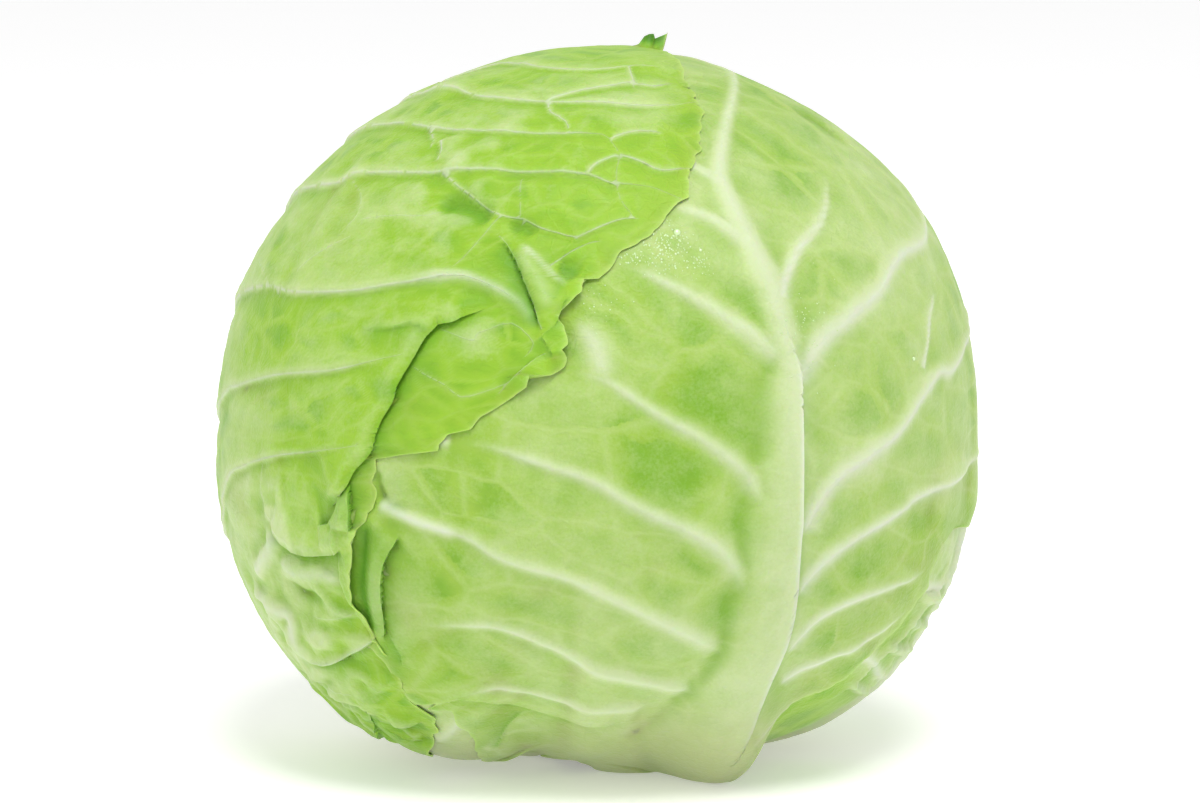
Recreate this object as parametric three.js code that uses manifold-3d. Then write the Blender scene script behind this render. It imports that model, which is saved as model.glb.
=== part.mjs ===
// A round green cabbage head standing on the cut face of its stem.
//
// Units are millimetres, +Z is up, and the origin is the centre of the stem's cut face.
// The head is seen from the front along +Y, so +X is to its right.
// From the inside out it is a stem, the packed inner head and nine wrapper leaves. Each leaf is a
// separate shell that grips the stem at its foot and wraps the leaves below it, up and over the crown.

import * as THREE from "three";
import { mergeVertices } from "three/addons/utils/BufferGeometryUtils.js";
import Module from "manifold-3d";

// ---- Driving dimensions -------------------------------------------------------------------------

const HEAD_RADIUS = 93.5;
const HEAD_DEPTH_SHARE = 0.97; // front to back, against side to side
const HEAD_CENTRE = new THREE.Vector3(-6, 0, 88);
const FLAT_FOOT_HEIGHT = 9.5; // how far the flattened underside stands above the cut face
const FOOT_ROUNDING = 9;

const STEM_RADIUS = 17;
const STEM_FLARE = 1.5; // the stem widens this much where the leaves spring from it
const STEM_HEIGHT = 17;
const STEM_CHAMFER = 1;
const STEM_SIDES = 40;

const LEAF_THICKNESS = 1;
const LEAF_GAP = 1.2; // free space between two leaves
const LEAF_PITCH = LEAF_THICKNESS + LEAF_GAP;
const LEAST_GAP = 0.35; // kept where flat mesh faces would cut a corner between two leaves
const INNER_HEAD_GAP = 3; // between the innermost leaf and the inner head

const LEAF_CELLS = 18; // mesh cells across a leaf
const GRID_TURN = 45; // bearing that the middle of a leaf mesh's side lies on, in degrees
const RIM_STEPS = 120; // points round an outline, for measuring distances to it
const INNER_HEAD_DETAIL = 9; // subdivisions of the inner head's icosahedron

// Degrees on the head, about its centre.
const STEP_MARGIN = 12; // a leaf stays fully raised this far past the edge of a leaf below it
const STEP_FALL = 20; // and then comes down over this angle
const SOFT_EDGE = 28; // half the width over which the inner head makes room for a leaf
const GOLDEN_ANGLE = 137.5; // between one leaf and the next round the stem
const VIEW_TILT = 8; // the front view looks down on the head by this angle

// Bulges and hollows of the head's outline: direction from the centre, height in mm, width in degrees.
const LOBES = [
  { toward: [0, 0, 1], height: -6.5, width: 45 },
  { toward: [-0.66, 0, -0.75], height: 6, width: 32 },
  { toward: [0.72, 0, -0.7], height: 3, width: 32 },
  { toward: [0.1, 0, -1], height: -4, width: 22 },
];

// ---- Directions on the head ---------------------------------------------------------------------

const radians = THREE.MathUtils.degToRad;
const degrees = THREE.MathUtils.radToDeg;
const smoothstep = THREE.MathUtils.smoothstep;

// The head leans so that its axis runs from the middle of the cut face through its centre.
const LEAN = new THREE.Quaternion().setFromUnitVectors(
  new THREE.Vector3(0, 0, 1),
  HEAD_CENTRE.clone().normalize(),
);

// The same bearing, from -180 to 180.
function wrapped(bearing) {
  return THREE.MathUtils.euclideanModulo(bearing + 180, 360) - 180;
}

// Longitude 0 faces the front and 90 the right; latitude 90 is the crown and -90 the stem.
function globe(longitude, latitude) {
  const lon = radians(longitude);
  const lat = radians(latitude);
  return new THREE.Vector3(
    Math.cos(lat) * Math.sin(lon),
    -Math.cos(lat) * Math.cos(lon),
    Math.sin(lat),
  ).applyQuaternion(LEAN);
}

// The direction that the front view shows at x mm right of the head's centre and v mm above it.
function frontView(x, v) {
  const tilt = radians(VIEW_TILT);
  const towardEye = new THREE.Vector3(0, -Math.cos(tilt), Math.sin(tilt));
  const upward = new THREE.Vector3(0, Math.sin(tilt), Math.cos(tilt));
  const depth = Math.sqrt(Math.max(0, HEAD_RADIUS ** 2 - x * x - v * v));
  return new THREE.Vector3(x, 0, 0)
    .addScaledVector(upward, v)
    .addScaledVector(towardEye, depth)
    .normalize();
}

// The smaller of two lengths, rounded off where they meet.
function smoothMin(a, b, rounding) {
  const share = THREE.MathUtils.clamp(0.5 + (b - a) / (2 * rounding), 0, 1);
  return b + (a - b) * share - rounding * share * (1 - share);
}

// From the head's centre to its outside, leaves included.
function headRadius(direction) {
  const stretched = new THREE.Vector3(
    direction.x,
    direction.y / HEAD_DEPTH_SHARE,
    direction.z,
  );
  let radius = HEAD_RADIUS / stretched.length();
  for (const lobe of LOBES) {
    const away = degrees(
      direction.angleTo(new THREE.Vector3(...lobe.toward).normalize()),
    );
    radius += lobe.height * Math.exp(-((away / lobe.width) ** 2));
  }
  if (direction.z > -0.05) return radius;
  const toFloor = (HEAD_CENTRE.z - FLAT_FOOT_HEIGHT) / -direction.z;
  return smoothMin(radius, toFloor, FOOT_ROUNDING);
}

// ---- Leaf outlines ------------------------------------------------------------------------------

// An outline is a closed curve round the leaf's middle. Each of its points is kept as a bearing from
// the leaf's own "up" and a reach, both in degrees, and the reach is read off at any bearing.
class Outline {
  constructor(middle, points) {
    this.middle = middle;
    const crown = globe(0, 90);
    this.right = new THREE.Vector3().crossVectors(crown, middle).normalize();
    this.up = new THREE.Vector3()
      .crossVectors(middle, this.right)
      .normalize();
    this.points = points
      .map((direction) => this.locate(direction))
      .sort((a, b) => a.bearing - b.bearing);
    this.rim = [];
    for (let step = 0; points.length && step < RIM_STEPS; step++) {
      const bearing = (360 * step) / RIM_STEPS - 180;
      this.rim.push(this.direction(bearing, this.reach(bearing)));
    }
  }

  locate(direction) {
    return {
      bearing: degrees(
        Math.atan2(direction.dot(this.right), direction.dot(this.up)),
      ),
      reach: degrees(direction.angleTo(this.middle)),
    };
  }

  // A smooth cubic through the neighbouring points, all the way round.
  reach(bearing) {
    const points = this.points;
    const count = points.length;
    let after = points.findIndex((point) => point.bearing > bearing);
    if (after < 0) after = count;
    const at = (index) => {
      const turns = Math.floor(index / count);
      const point = points[index - turns * count];
      return [point.bearing + 360 * turns, point.reach];
    };
    const [x0, y0] = at(after - 2);
    const [x1, y1] = at(after - 1);
    const [x2, y2] = at(after);
    const [x3, y3] = at(after + 1);
    const span = x2 - x1;
    const share = (bearing - x1) / span;
    const slope1 = ((y2 - y0) / (x2 - x0)) * span;
    const slope2 = ((y3 - y1) / (x3 - x1)) * span;
    const s2 = share * share;
    const s3 = s2 * share;
    return (
      (2 * s3 - 3 * s2 + 1) * y1 +
      (s3 - 2 * s2 + share) * slope1 +
      (3 * s2 - 2 * s3) * y2 +
      (s3 - s2) * slope2
    );
  }

  direction(bearing, reach) {
    const turn = radians(bearing);
    const away = radians(reach);
    return this.middle
      .clone()
      .multiplyScalar(Math.cos(away))
      .addScaledVector(this.up, Math.sin(away) * Math.cos(turn))
      .addScaledVector(this.right, Math.sin(away) * Math.sin(turn));
  }

  // How far a direction lies outside the outline, in degrees; negative inside.
  outside(direction) {
    const { bearing, reach } = this.locate(direction);
    let nearest = -1;
    for (const point of this.rim)
      nearest = Math.max(nearest, point.dot(direction));
    const away = degrees(Math.acos(Math.min(1, nearest)));
    return reach > this.reach(bearing) ? away : -away;
  }
}

// A whole wrapper leaf: a narrow foot at the stem, broad shoulders and a round end past the crown.
// size scales its reach, and sway moves its end sideways.
function roundLeaf(longitude, size, sway) {
  const middle = globe(longitude, 6);
  const margin = [
    [-180, 82],
    [-160, 76],
    [-138, 73 * size],
    [-105, 77 * size],
    [-70, 80 * size],
    [-35, 90 * size - sway],
    [0, 99 * size],
    [35, 90 * size + sway],
    [70, 80 * size],
    [105, 77 * size],
    [138, 73 * size],
    [160, 76],
  ];
  const blank = new Outline(middle, []);
  return new Outline(
    middle,
    margin.map(([bearing, reach]) => blank.direction(bearing, reach)),
  );
}

// The outermost leaf: it wraps the left side, and its torn, folded edge crosses the front.
function leftCoverLeaf() {
  return new Outline(globe(-100, 4), [
    frontView(17, 88),
    frontView(26, 72),
    frontView(22, 54),
    frontView(10, 41),
    frontView(-4, 29),
    frontView(-9, 12),
    frontView(-34, -7),
    frontView(-56, -15),
    frontView(-59, -39),
    frontView(-52, -60),
    frontView(-41, -79),
    globe(-75, -73),
    globe(-105, -75),
    globe(-140, -68),
    globe(-165, -40),
    globe(180, -5),
    globe(178, 30),
    globe(165, 62),
  ]);
}

// The front leaf: its thick midrib rises from the foot, right of the middle.
function frontCoverLeaf() {
  return new Outline(globe(28, 2), [
    globe(20, -75),
    frontView(-20, -84),
    frontView(-36, -77),
    frontView(-49, -66),
    frontView(-62, -45),
    frontView(-66, -17),
    globe(-54, 22),
    globe(-62, 58),
    globe(-140, 78),
    globe(150, 66),
    globe(118, 45),
    globe(110, 12),
    globe(100, -14),
    frontView(84, -38),
    frontView(64, -64),
    frontView(42, -80),
  ]);
}

// From the innermost leaf to the outermost. Each next leaf springs a golden angle further round.
const OUTER_LONGITUDE = 31; // of the front cover leaf's midrib
const LEAVES = [
  { name: "left_inner_leaf", turn: 7, size: 0.93, sway: 4 },
  { name: "back_right_inner_leaf", turn: 6, size: 0.96, sway: -5 },
  { name: "front_inner_leaf", turn: 5, size: 0.95, sway: 5 },
  { name: "back_left_under_leaf", turn: 4, size: 0.99, sway: 3 },
  { name: "right_under_leaf", turn: 3, size: 1.0, sway: -4 },
  { name: "front_left_under_leaf", turn: 2, size: 0.98, sway: -3 },
  { name: "back_cover_leaf", turn: 1, size: 1.03, sway: 4 },
  { name: "front_cover_leaf", outline: frontCoverLeaf() },
  { name: "left_cover_leaf", outline: leftCoverLeaf(), gridTurn: -15 },
];
for (const leaf of LEAVES)
  leaf.outline ??= roundLeaf(
    OUTER_LONGITUDE + GOLDEN_ANGLE * leaf.turn,
    leaf.size,
    leaf.sway,
  );

// ---- Heights of the layers ----------------------------------------------------------------------

// The bed that the leaves lie on. It gives each leaf the room that it takes up, with soft edges.
function bedRadius(direction) {
  let covered = 0;
  for (const { outline } of LEAVES)
    covered += 1 - smoothstep(outline.outside(direction), -SOFT_EDGE, SOFT_EDGE);
  return headRadius(direction) - LEAF_PITCH * covered;
}

// The inside of leaf number index, which climbs over each leaf below it.
function leafBedRadius(index, direction) {
  let radius = bedRadius(direction);
  for (const { outline } of LEAVES.slice(0, index)) {
    const past = outline.outside(direction);
    radius += LEAF_PITCH * (1 - smoothstep(past, STEP_MARGIN, STEP_MARGIN + STEP_FALL));
  }
  return radius;
}

// ---- Solids -------------------------------------------------------------------------------------

const LEAF_GREEN = new THREE.MeshStandardMaterial({
  color: 0x8fc04a,
  roughness: 0.45,
  metalness: 0,
});
const UNDER_LEAF_GREEN = new THREE.MeshStandardMaterial({
  color: 0xa9cf6a,
  roughness: 0.45,
  metalness: 0,
});
const INNER_HEAD_YELLOW = new THREE.MeshStandardMaterial({
  color: 0xdfe8b4,
  roughness: 0.5,
  metalness: 0,
});
const STEM_CREAM = new THREE.MeshStandardMaterial({
  color: 0xd9cf9a,
  roughness: 0.65,
  metalness: 0,
});

// A flat slab of cells, bent round the head inside the leaf's outline. extra thickens its outside.
// The slab's corners go where the outline runs smoothly.
function leafGeometry(leaf, index, extra = 0) {
  const geometry = new THREE.BoxGeometry(2, 2, 2, LEAF_CELLS, LEAF_CELLS, 1);
  const corners = geometry.getAttribute("position");
  for (let i = 0; i < corners.count; i++) {
    const x = corners.getX(i);
    const y = corners.getY(i);
    const across = x * Math.sqrt(1 - (y * y) / 2);
    const along = y * Math.sqrt(1 - (x * x) / 2);
    const bearing = wrapped(degrees(Math.atan2(across, along)) + (leaf.gridTurn ?? GRID_TURN));
    const reach = Math.hypot(across, along) * leaf.outline.reach(bearing);
    const direction = leaf.outline.direction(bearing, reach);
    const thickness = corners.getZ(i) > 0 ? LEAF_THICKNESS + extra : 0;
    const radius = leafBedRadius(index, direction) + thickness;
    corners.setXYZ(i, ...direction.multiplyScalar(radius).add(HEAD_CENTRE));
  }
  return geometry;
}

const wasm = await Module();
wasm.setup();

function solidOf(geometry) {
  const shape = new THREE.BufferGeometry();
  shape.setAttribute("position", geometry.getAttribute("position"));
  shape.setIndex(geometry.index);
  const merged = mergeVertices(shape, 1e-3);
  return new wasm.Manifold(
    new wasm.Mesh({
      numProp: 3,
      vertProperties: merged.getAttribute("position").array,
      triVerts: new Uint32Array(merged.index.array),
    }),
  );
}

function geometryOf(solid) {
  const { vertProperties, triVerts } = solid.getMesh();
  return new THREE.BufferGeometry()
    .setAttribute("position", new THREE.BufferAttribute(vertProperties, 3))
    .setIndex(new THREE.BufferAttribute(triVerts, 1));
}

function largest(solids) {
  return solids.reduce((a, b) => (b.volume() > a.volume() ? b : a));
}

// Each leaf, eased by LEAST_GAP wherever its flat faces touch a leaf below it.
function leafMeshes() {
  const below = [];
  return LEAVES.map((leaf, index) => {
    let solid = solidOf(leafGeometry(leaf, index));
    for (const raised of below)
      if (solid.intersect(raised).volume() > 0) solid = solid.subtract(raised);
    solid = largest(solid.decompose());
    below.push(solidOf(leafGeometry(leaf, index, LEAST_GAP)));
    const material = leaf.turn ? UNDER_LEAF_GREEN : LEAF_GREEN;
    const mesh = new THREE.Mesh(geometryOf(solid), material);
    mesh.name = leaf.name;
    return mesh;
  });
}

// The inner leaves, packed as one body, sitting on the flat top of the stem.
function innerHeadMesh() {
  const geometry = new THREE.IcosahedronGeometry(1, INNER_HEAD_DETAIL);
  const corners = geometry.getAttribute("position");
  const direction = new THREE.Vector3();
  const seat = HEAD_CENTRE.z - STEM_HEIGHT - LEAF_GAP;
  for (let i = 0; i < corners.count; i++) {
    direction.fromBufferAttribute(corners, i).normalize();
    let radius = bedRadius(direction) - INNER_HEAD_GAP;
    if (direction.z < -0.05)
      radius = Math.min(radius, seat / -direction.z);
    corners.setXYZ(i, ...direction.multiplyScalar(radius).add(HEAD_CENTRE));
  }
  const mesh = new THREE.Mesh(geometry, INNER_HEAD_YELLOW);
  mesh.name = "inner_head";
  return mesh;
}

// The stump below the head: a flat cut face, and a flare where the leaves spring from it.
function stemMesh() {
  const top = STEM_RADIUS + STEM_FLARE;
  const profile = [
    [0, 0],
    [STEM_RADIUS - STEM_CHAMFER, 0],
    [STEM_RADIUS, STEM_CHAMFER],
    [STEM_RADIUS, STEM_HEIGHT / 2],
    [top, STEM_HEIGHT],
    [0, STEM_HEIGHT],
  ].map(([radius, height]) => new THREE.Vector2(radius, height));
  const geometry = new THREE.LatheGeometry(profile, STEM_SIDES);
  geometry.rotateX(Math.PI / 2);
  const mesh = new THREE.Mesh(geometry, STEM_CREAM);
  mesh.name = "stem";
  return mesh;
}

const cabbage = new THREE.Group();
cabbage.add(stemMesh(), innerHeadMesh());
cabbage.add(...leafMeshes());

export default cabbage;
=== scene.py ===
import math

import bpy
import numpy as np
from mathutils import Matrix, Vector


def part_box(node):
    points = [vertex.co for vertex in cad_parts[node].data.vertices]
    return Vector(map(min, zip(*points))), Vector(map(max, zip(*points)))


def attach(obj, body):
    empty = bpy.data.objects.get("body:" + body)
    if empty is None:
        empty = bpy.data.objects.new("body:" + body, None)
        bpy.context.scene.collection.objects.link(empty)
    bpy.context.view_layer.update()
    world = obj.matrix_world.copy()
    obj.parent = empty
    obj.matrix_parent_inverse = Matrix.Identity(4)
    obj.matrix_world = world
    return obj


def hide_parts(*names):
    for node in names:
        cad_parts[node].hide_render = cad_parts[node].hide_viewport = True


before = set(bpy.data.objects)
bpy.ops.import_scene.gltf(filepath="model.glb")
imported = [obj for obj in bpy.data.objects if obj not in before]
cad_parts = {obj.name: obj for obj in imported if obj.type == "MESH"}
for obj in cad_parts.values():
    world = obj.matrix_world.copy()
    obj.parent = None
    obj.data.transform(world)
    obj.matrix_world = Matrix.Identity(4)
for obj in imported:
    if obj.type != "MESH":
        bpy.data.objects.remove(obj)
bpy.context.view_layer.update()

# A round green cabbage head: a cut stem, a packed inner head sized to the imported one, and nine
# wrapper leaves.
# Shapes are worked out in millimetres about the head's centre and written to the meshes in metres.

bl_info = {
    "name": "Cabbage head",
    "version": (1, 0, 0),
    "blender": (4, 5, 0),
    "location": "View3D > Sidebar > Cabbage",
    "description": "Builds a cabbage head from its stem outwards, leaf by leaf",
    "category": "Add Mesh",
}

MM = 0.001
BODY = "root"

# ---- The head's shape ---------------------------------------------------------------------------

CENTRE = np.array((-6.0, 0.0, 88.0))
VIEW_TILT = math.radians(8)  # the front view looks down on the head by this angle
RIGHTWARD = np.array((1.0, 0.0, 0.0))
UPWARD = np.array((0.0, math.sin(VIEW_TILT), math.cos(VIEW_TILT)))
TOWARD_EYE = np.array((0.0, -math.cos(VIEW_TILT), math.sin(VIEW_TILT)))
EYE_DISTANCE = 1100.0
AIM = CENTRE + 0.5 * RIGHTWARD + 0.9 * UPWARD  # the middle of the view
EYE = AIM + EYE_DISTANCE * TOWARD_EYE

# Half widths of the front view, in mm, at clock angles from the top; and the radius toward the eye.
HEAD_OUTLINE = (
    (0, 89.5), (20, 89.8), (40, 91.5), (60, 94.5), (80, 94.2), (100, 94.8), (120, 96.2),
    (135, 97.2), (150, 95.2), (165, 93.0), (180, 89.5), (195, 89.5), (210, 98.0), (225, 99.5),
    (240, 99.0), (255, 97.0), (270, 94.2), (290, 93.0), (310, 91.5), (330, 89.8), (345, 89.2),
)  # fmt: skip
OUTLINE_SHRINK = 0.9964  # an eye this near sees a little past the widest ring
DEPTH_RADIUS = 91.0
MAP_RADIUS = 93.5  # distances along the head are measured on a ball of this radius
FOOT_HEIGHT = 3.2
FOOT_ROUNDING = 10.0
LOWEST = 0.35  # how far the leaves' feet stay above the floor
MARGIN_THICKNESS = 0.3
AROUND_RADIUS = 90  # of the circle round which the margin's scallops and ruffles are laid out
MARGIN_POWER = 12  # the margin's own shape fades inwards with this power of the reach
NET_WIDTH = 0.62
RISE_CELLS = 26  # a point's rise is measured against the leaf smoothed over this many cells
THINNING = 14.0  # a leaf is thinner within this distance of its margin
CLEARANCE = 0.15  # least space between a leaf's inside and the leaf below it
FAR_FROM_VEIN = 30.0  # taken as the distance to the nearest vein where none is near
FAR_FROM_THIN = 6.0  # the same for a crisp vein, against its width
UNDER_SHARE = 5  # outer cells of a leaf to one inner cell, along each side

DEGREE = math.pi / 180


def unit(vectors):
    return vectors / np.linalg.norm(vectors, axis=-1, keepdims=True)


def degrees_apart(directions, spot):
    return np.degrees(np.arccos(np.clip(directions @ spot, -1, 1)))


def smoothstep(low, high, values):
    share = np.clip((values - low) / (high - low), 0, 1)
    return share * share * (3 - 2 * share)


def smooth_min(a, b, rounding):
    share = np.clip(0.5 + (b - a) / (2 * rounding), 0, 1)
    return b + (a - b) * share - rounding * share * (1 - share)


def smooth_max(a, b, rounding):
    return -smooth_min(-a, -b, rounding)


def round_curve(angles, heights, at):
    """A smooth closed curve through heights at sorted angles in degrees, read off at others."""
    angles, heights = np.asarray(angles, float), np.asarray(heights, float)
    xs = np.concatenate((angles[-2:] - 360, angles, angles[:2] + 360))
    ys = np.concatenate((heights[-2:], heights, heights[:2]))
    at = (at - angles[0]) % 360 + angles[0]
    after = np.clip(np.searchsorted(xs, at, side="right"), 2, len(xs) - 2)
    x0, x1, x2, x3 = (xs[after + k] for k in (-2, -1, 0, 1))
    y0, y1, y2, y3 = (ys[after + k] for k in (-2, -1, 0, 1))
    span = x2 - x1
    share = (at - x1) / span
    slope1, slope2 = (y2 - y0) / (x2 - x0) * span, (y3 - y1) / (x3 - x1) * span
    s2, s3 = share**2, share**3
    return (
        (2 * s3 - 3 * s2 + 1) * y1 + (s3 - 2 * s2 + share) * slope1 + (3 * s2 - 2 * s3) * y2 + (s3 -
            s2) * slope2
    )  # fmt: skip


def head_radius(directions):
    """From the head's centre to the outside of the outermost leaf there."""
    across, upward = directions[..., 0], directions @ UPWARD
    sideness = across**2 + upward**2
    clock = np.degrees(np.arctan2(across, upward)) % 360
    outline = round_curve(*zip(*HEAD_OUTLINE), clock) * OUTLINE_SHRINK
    radius = DEPTH_RADIUS + (outline - DEPTH_RADIUS) * sideness
    drop = np.maximum(-directions[..., 2], 0.05)
    return smooth_min(radius, (CENTRE[2] - FOOT_HEIGHT) / drop, FOOT_ROUNDING)


# The head leans so that its axis runs from the middle of the cut face through its centre.
AXIS = unit(CENTRE)
LEAN_RIGHT = unit(np.cross((0, 1, 0), AXIS))
LEAN_BACK = np.cross(AXIS, LEAN_RIGHT)


def globe(longitude, latitude):
    """Longitude 0 faces the front and 90 the right; latitude 90 is the crown and -90 the stem."""
    lon, lat = np.asarray(longitude, float) * DEGREE, np.asarray(latitude, float) * DEGREE
    return (
        (np.cos(lat) * np.sin(lon))[..., None] * LEAN_RIGHT
        - (np.cos(lat) * np.cos(lon))[..., None] * LEAN_BACK
        + np.sin(lat)[..., None] * AXIS
    )


def seen(x, v):
    """The direction of the point that the front view shows x mm right of the centre and v above."""
    target = CENTRE + x * RIGHTWARD + v * UPWARD
    ray = unit(target - EYE)
    along = (CENTRE - EYE) @ ray
    nearest = EYE + along * ray - CENTRE
    radius = MAP_RADIUS
    for _ in range(12):
        depth = math.sqrt(max(0.0, radius**2 - nearest @ nearest))
        direction = unit(nearest - depth * ray)
        radius = float(head_radius(direction))
    return direction


# ---- Roughness of growth ------------------------------------------------------------------------

LATTICE = 32
CHANCE = np.random.default_rng(11).random((LATTICE, LATTICE, LATTICE))


def rumple(points, size, layer=0):
    """Smooth, even bumps of about one size, from -1 to 1."""
    spots = np.asarray(points) / size + 7.3 * layer
    low = np.floor(spots).astype(int)
    share = spots - low
    share = share * share * (3 - 2 * share)
    total = 0
    for corner in np.ndindex(2, 2, 2):
        weight = np.prod(np.where(corner, share, 1 - share), axis=-1)
        total = total + weight * CHANCE[tuple((low + corner).T % LATTICE)].T
    return 2 * total - 1


def rough(points, size, layer=0):
    return (
        rumple(points, size, layer)
        + 0.5 * rumple(points, size / 2.1, layer + 3)
        + 0.25 * rumple(points, size / 4.3, layer + 5)
    ) / 1.75


# ---- Leaf outlines ------------------------------------------------------------------------------


class Outline:
    """A closed curve round a leaf's middle, kept as a reach at each bearing, both in degrees."""

    def __init__(self, middle, points=(), reaches=(), margins=()):
        self.middle = middle
        self.right = unit(np.cross(AXIS, middle))
        self.up = np.cross(middle, self.right)
        places = self.locate(np.array(points)) if len(points) else np.array(reaches, float).T
        order = np.argsort(places[0])
        self.bearings, self.reaches = (np.array(values)[order] for values in places)
        self.margins = [self.unwound(np.array(arc)) for arc in margins]
        turns = np.arange(-180, 180, 2.0)
        self.rim = self.direction(turns, self.reach(turns))

    def unwound(self, arc):
        """A fine stretch of margin, as bearings that don't jump and their reaches."""
        bearings, reaches = self.locate(arc)
        middle = bearings[len(bearings) // 2]
        bearings = (bearings - middle + 180) % 360 - 180 + middle
        order = np.argsort(bearings)
        return bearings[order], reaches[order]

    def locate(self, directions):
        bearing = np.degrees(np.arctan2(directions @ self.right, directions @ self.up))
        return bearing, degrees_apart(directions, self.middle)

    def reach(self, bearing):
        return round_curve(self.bearings, self.reaches, bearing)

    def fringe(self, bearing):
        """How far the margin's own fine outline stands out from the smooth one."""
        total = 0 * bearing
        for bearings, reaches in self.margins:
            middle = (bearings[0] + bearings[-1]) / 2
            at = (bearing - middle + 180) % 360 - 180 + middle
            inside = smoothstep(bearings[0] - 3, bearings[0] + 1, at)
            inside = inside * (1 - smoothstep(bearings[-1] - 1, bearings[-1] + 3, at))
            total = total + (np.interp(at, bearings, reaches) - self.reach(at)) * inside
        return total

    def direction(self, bearing, reach):
        turn, away = (np.asarray(a)[..., None] * DEGREE for a in (bearing, reach))
        return np.cos(away) * self.middle + np.sin(away) * (
            np.cos(turn) * self.up + np.sin(turn) * self.right
        )

    def outside(self, directions):
        """How far directions lie outside the outline, in degrees; negative inside."""
        bearing, reach = self.locate(directions)
        nearest = (directions @ self.rim.T).max(axis=-1)
        away = np.degrees(np.arccos(np.clip(nearest, -1, 1)))
        return np.where(reach > self.reach(bearing), away, -away)

    def place(self, across, along):
        """The direction that lies so many degrees across and along the leaf from its middle."""
        return self.direction(np.degrees(np.arctan2(across, along)), np.hypot(across, along))


def views(*points):
    return [seen(x, v) for x, v in points]


def globes(*points):
    return [globe(longitude, latitude) for longitude, latitude in points]


# ---- Veins --------------------------------------------------------------------------------------


class Line:
    """A vein, rib, groove or fold along a path on the head.

    width and height run along it as (share, mm) pairs. The side toward `high` is raised by step,
    which fades over step_reach, and the other side dips by dip, which fades over dip_reach.
    A fold also slides its high side over the low one by overhang. soft rounds the step off. crease
    paints shade beside the line.
    """

    def __init__(
        self, path, width=1.0, height=0.0, step=0.0, step_reach=8.0, dip=0.0, dip_reach=2.0,
        glow=0.0, glow_width=2.0, crease=0.0, overhang=0.0, high="up", fade=(0.0, 0.12), power=2,
        crisp=False, soft=0.0,
    ):  # fmt: skip
        self.path = self.smoothed(np.array(path))
        spans = np.diff(self.path, axis=0)
        lengths = np.linalg.norm(spans, axis=1)
        self.starts = np.concatenate(((0,), np.cumsum(lengths)))
        self.length = self.starts[-1]
        self.left = unit(np.cross(unit(self.path[:-1]), spans / lengths[:, None]))
        self.width, self.height = self.table(width), self.table(height)
        self.step, self.step_reach, self.dip, self.dip_reach = step, step_reach, dip, dip_reach
        self.glow, self.glow_width = self.table(glow), self.table(glow_width)
        self.crease, self.overhang = crease, overhang
        self.fade, self.power, self.crisp, self.soft = fade, power, crisp, soft
        self.sign = {"left": 1.0, "right": -1.0}.get(high)
        if self.sign is None:
            self.sign = 1.0 if self.left[:, 2].sum() > 0 else -1.0

    @staticmethod
    def table(value):
        return ((0, value), (1, value)) if isinstance(value, (int, float)) else value

    @staticmethod
    def smoothed(points, spacing=2.2):
        """A smooth curve through directions, on the map ball, with points about evenly spaced."""
        points = unit(points) * MAP_RADIUS
        if len(points) == 2:
            points = np.array((points[0], points.mean(axis=0), points[1]))
        ends = np.vstack((2 * points[0] - points[1], points, 2 * points[-1] - points[-2]))
        out = [points[:1]]
        for k in range(len(points) - 1):
            p0, p1, p2, p3 = ends[k : k + 4]
            steps = max(1, int(round(np.linalg.norm(p2 - p1) / spacing)))
            t = (np.arange(steps) + 1)[:, None] / steps
            out.append(
                0.5 * (2 * p1 + (p2 - p0) * t + (2 * p0 - 5 * p1 + 4 * p2 - p3) * t**2 + (3 * p1 -
                    p0 - 3 * p2 + p3) * t**3)
            )  # fmt: skip
        return unit(np.concatenate(out)) * MAP_RADIUS

    def measure(self, points, reach):
        """Which points lie within reach, and their signed distance, share along and way off."""
        middle = self.path.mean(axis=0)
        limit = np.linalg.norm(self.path - middle, axis=1).max() + reach
        near = np.flatnonzero(((points - middle) ** 2).sum(axis=1) < limit**2)
        p, a = points[near], self.path[:-1]
        spans = np.diff(self.path, axis=0)
        square = (spans**2).sum(axis=1)
        off = p @ spans.T - (a * spans).sum(axis=1)
        t = np.clip(off / square, 0, 1)
        away = (p**2).sum(axis=1)[:, None] - 2 * p @ a.T + (a**2).sum(axis=1)
        away += t * (t * square - 2 * off)
        k = away.argmin(axis=1)
        rows = np.arange(len(near))
        t, distance = t[rows, k], np.sqrt(np.maximum(away[rows, k], 0))
        left = self.left[k]
        offset = p - (a[k] + t[:, None] * spans[k])
        side = np.sign((offset * left).sum(axis=1)) * self.sign
        share = (self.starts[k] + t * np.sqrt(square[k])) / self.length
        close = distance < reach
        return (
            near[close], (distance * side)[close], share[close], (left * self.sign)[close],
        )  # fmt: skip


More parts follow.
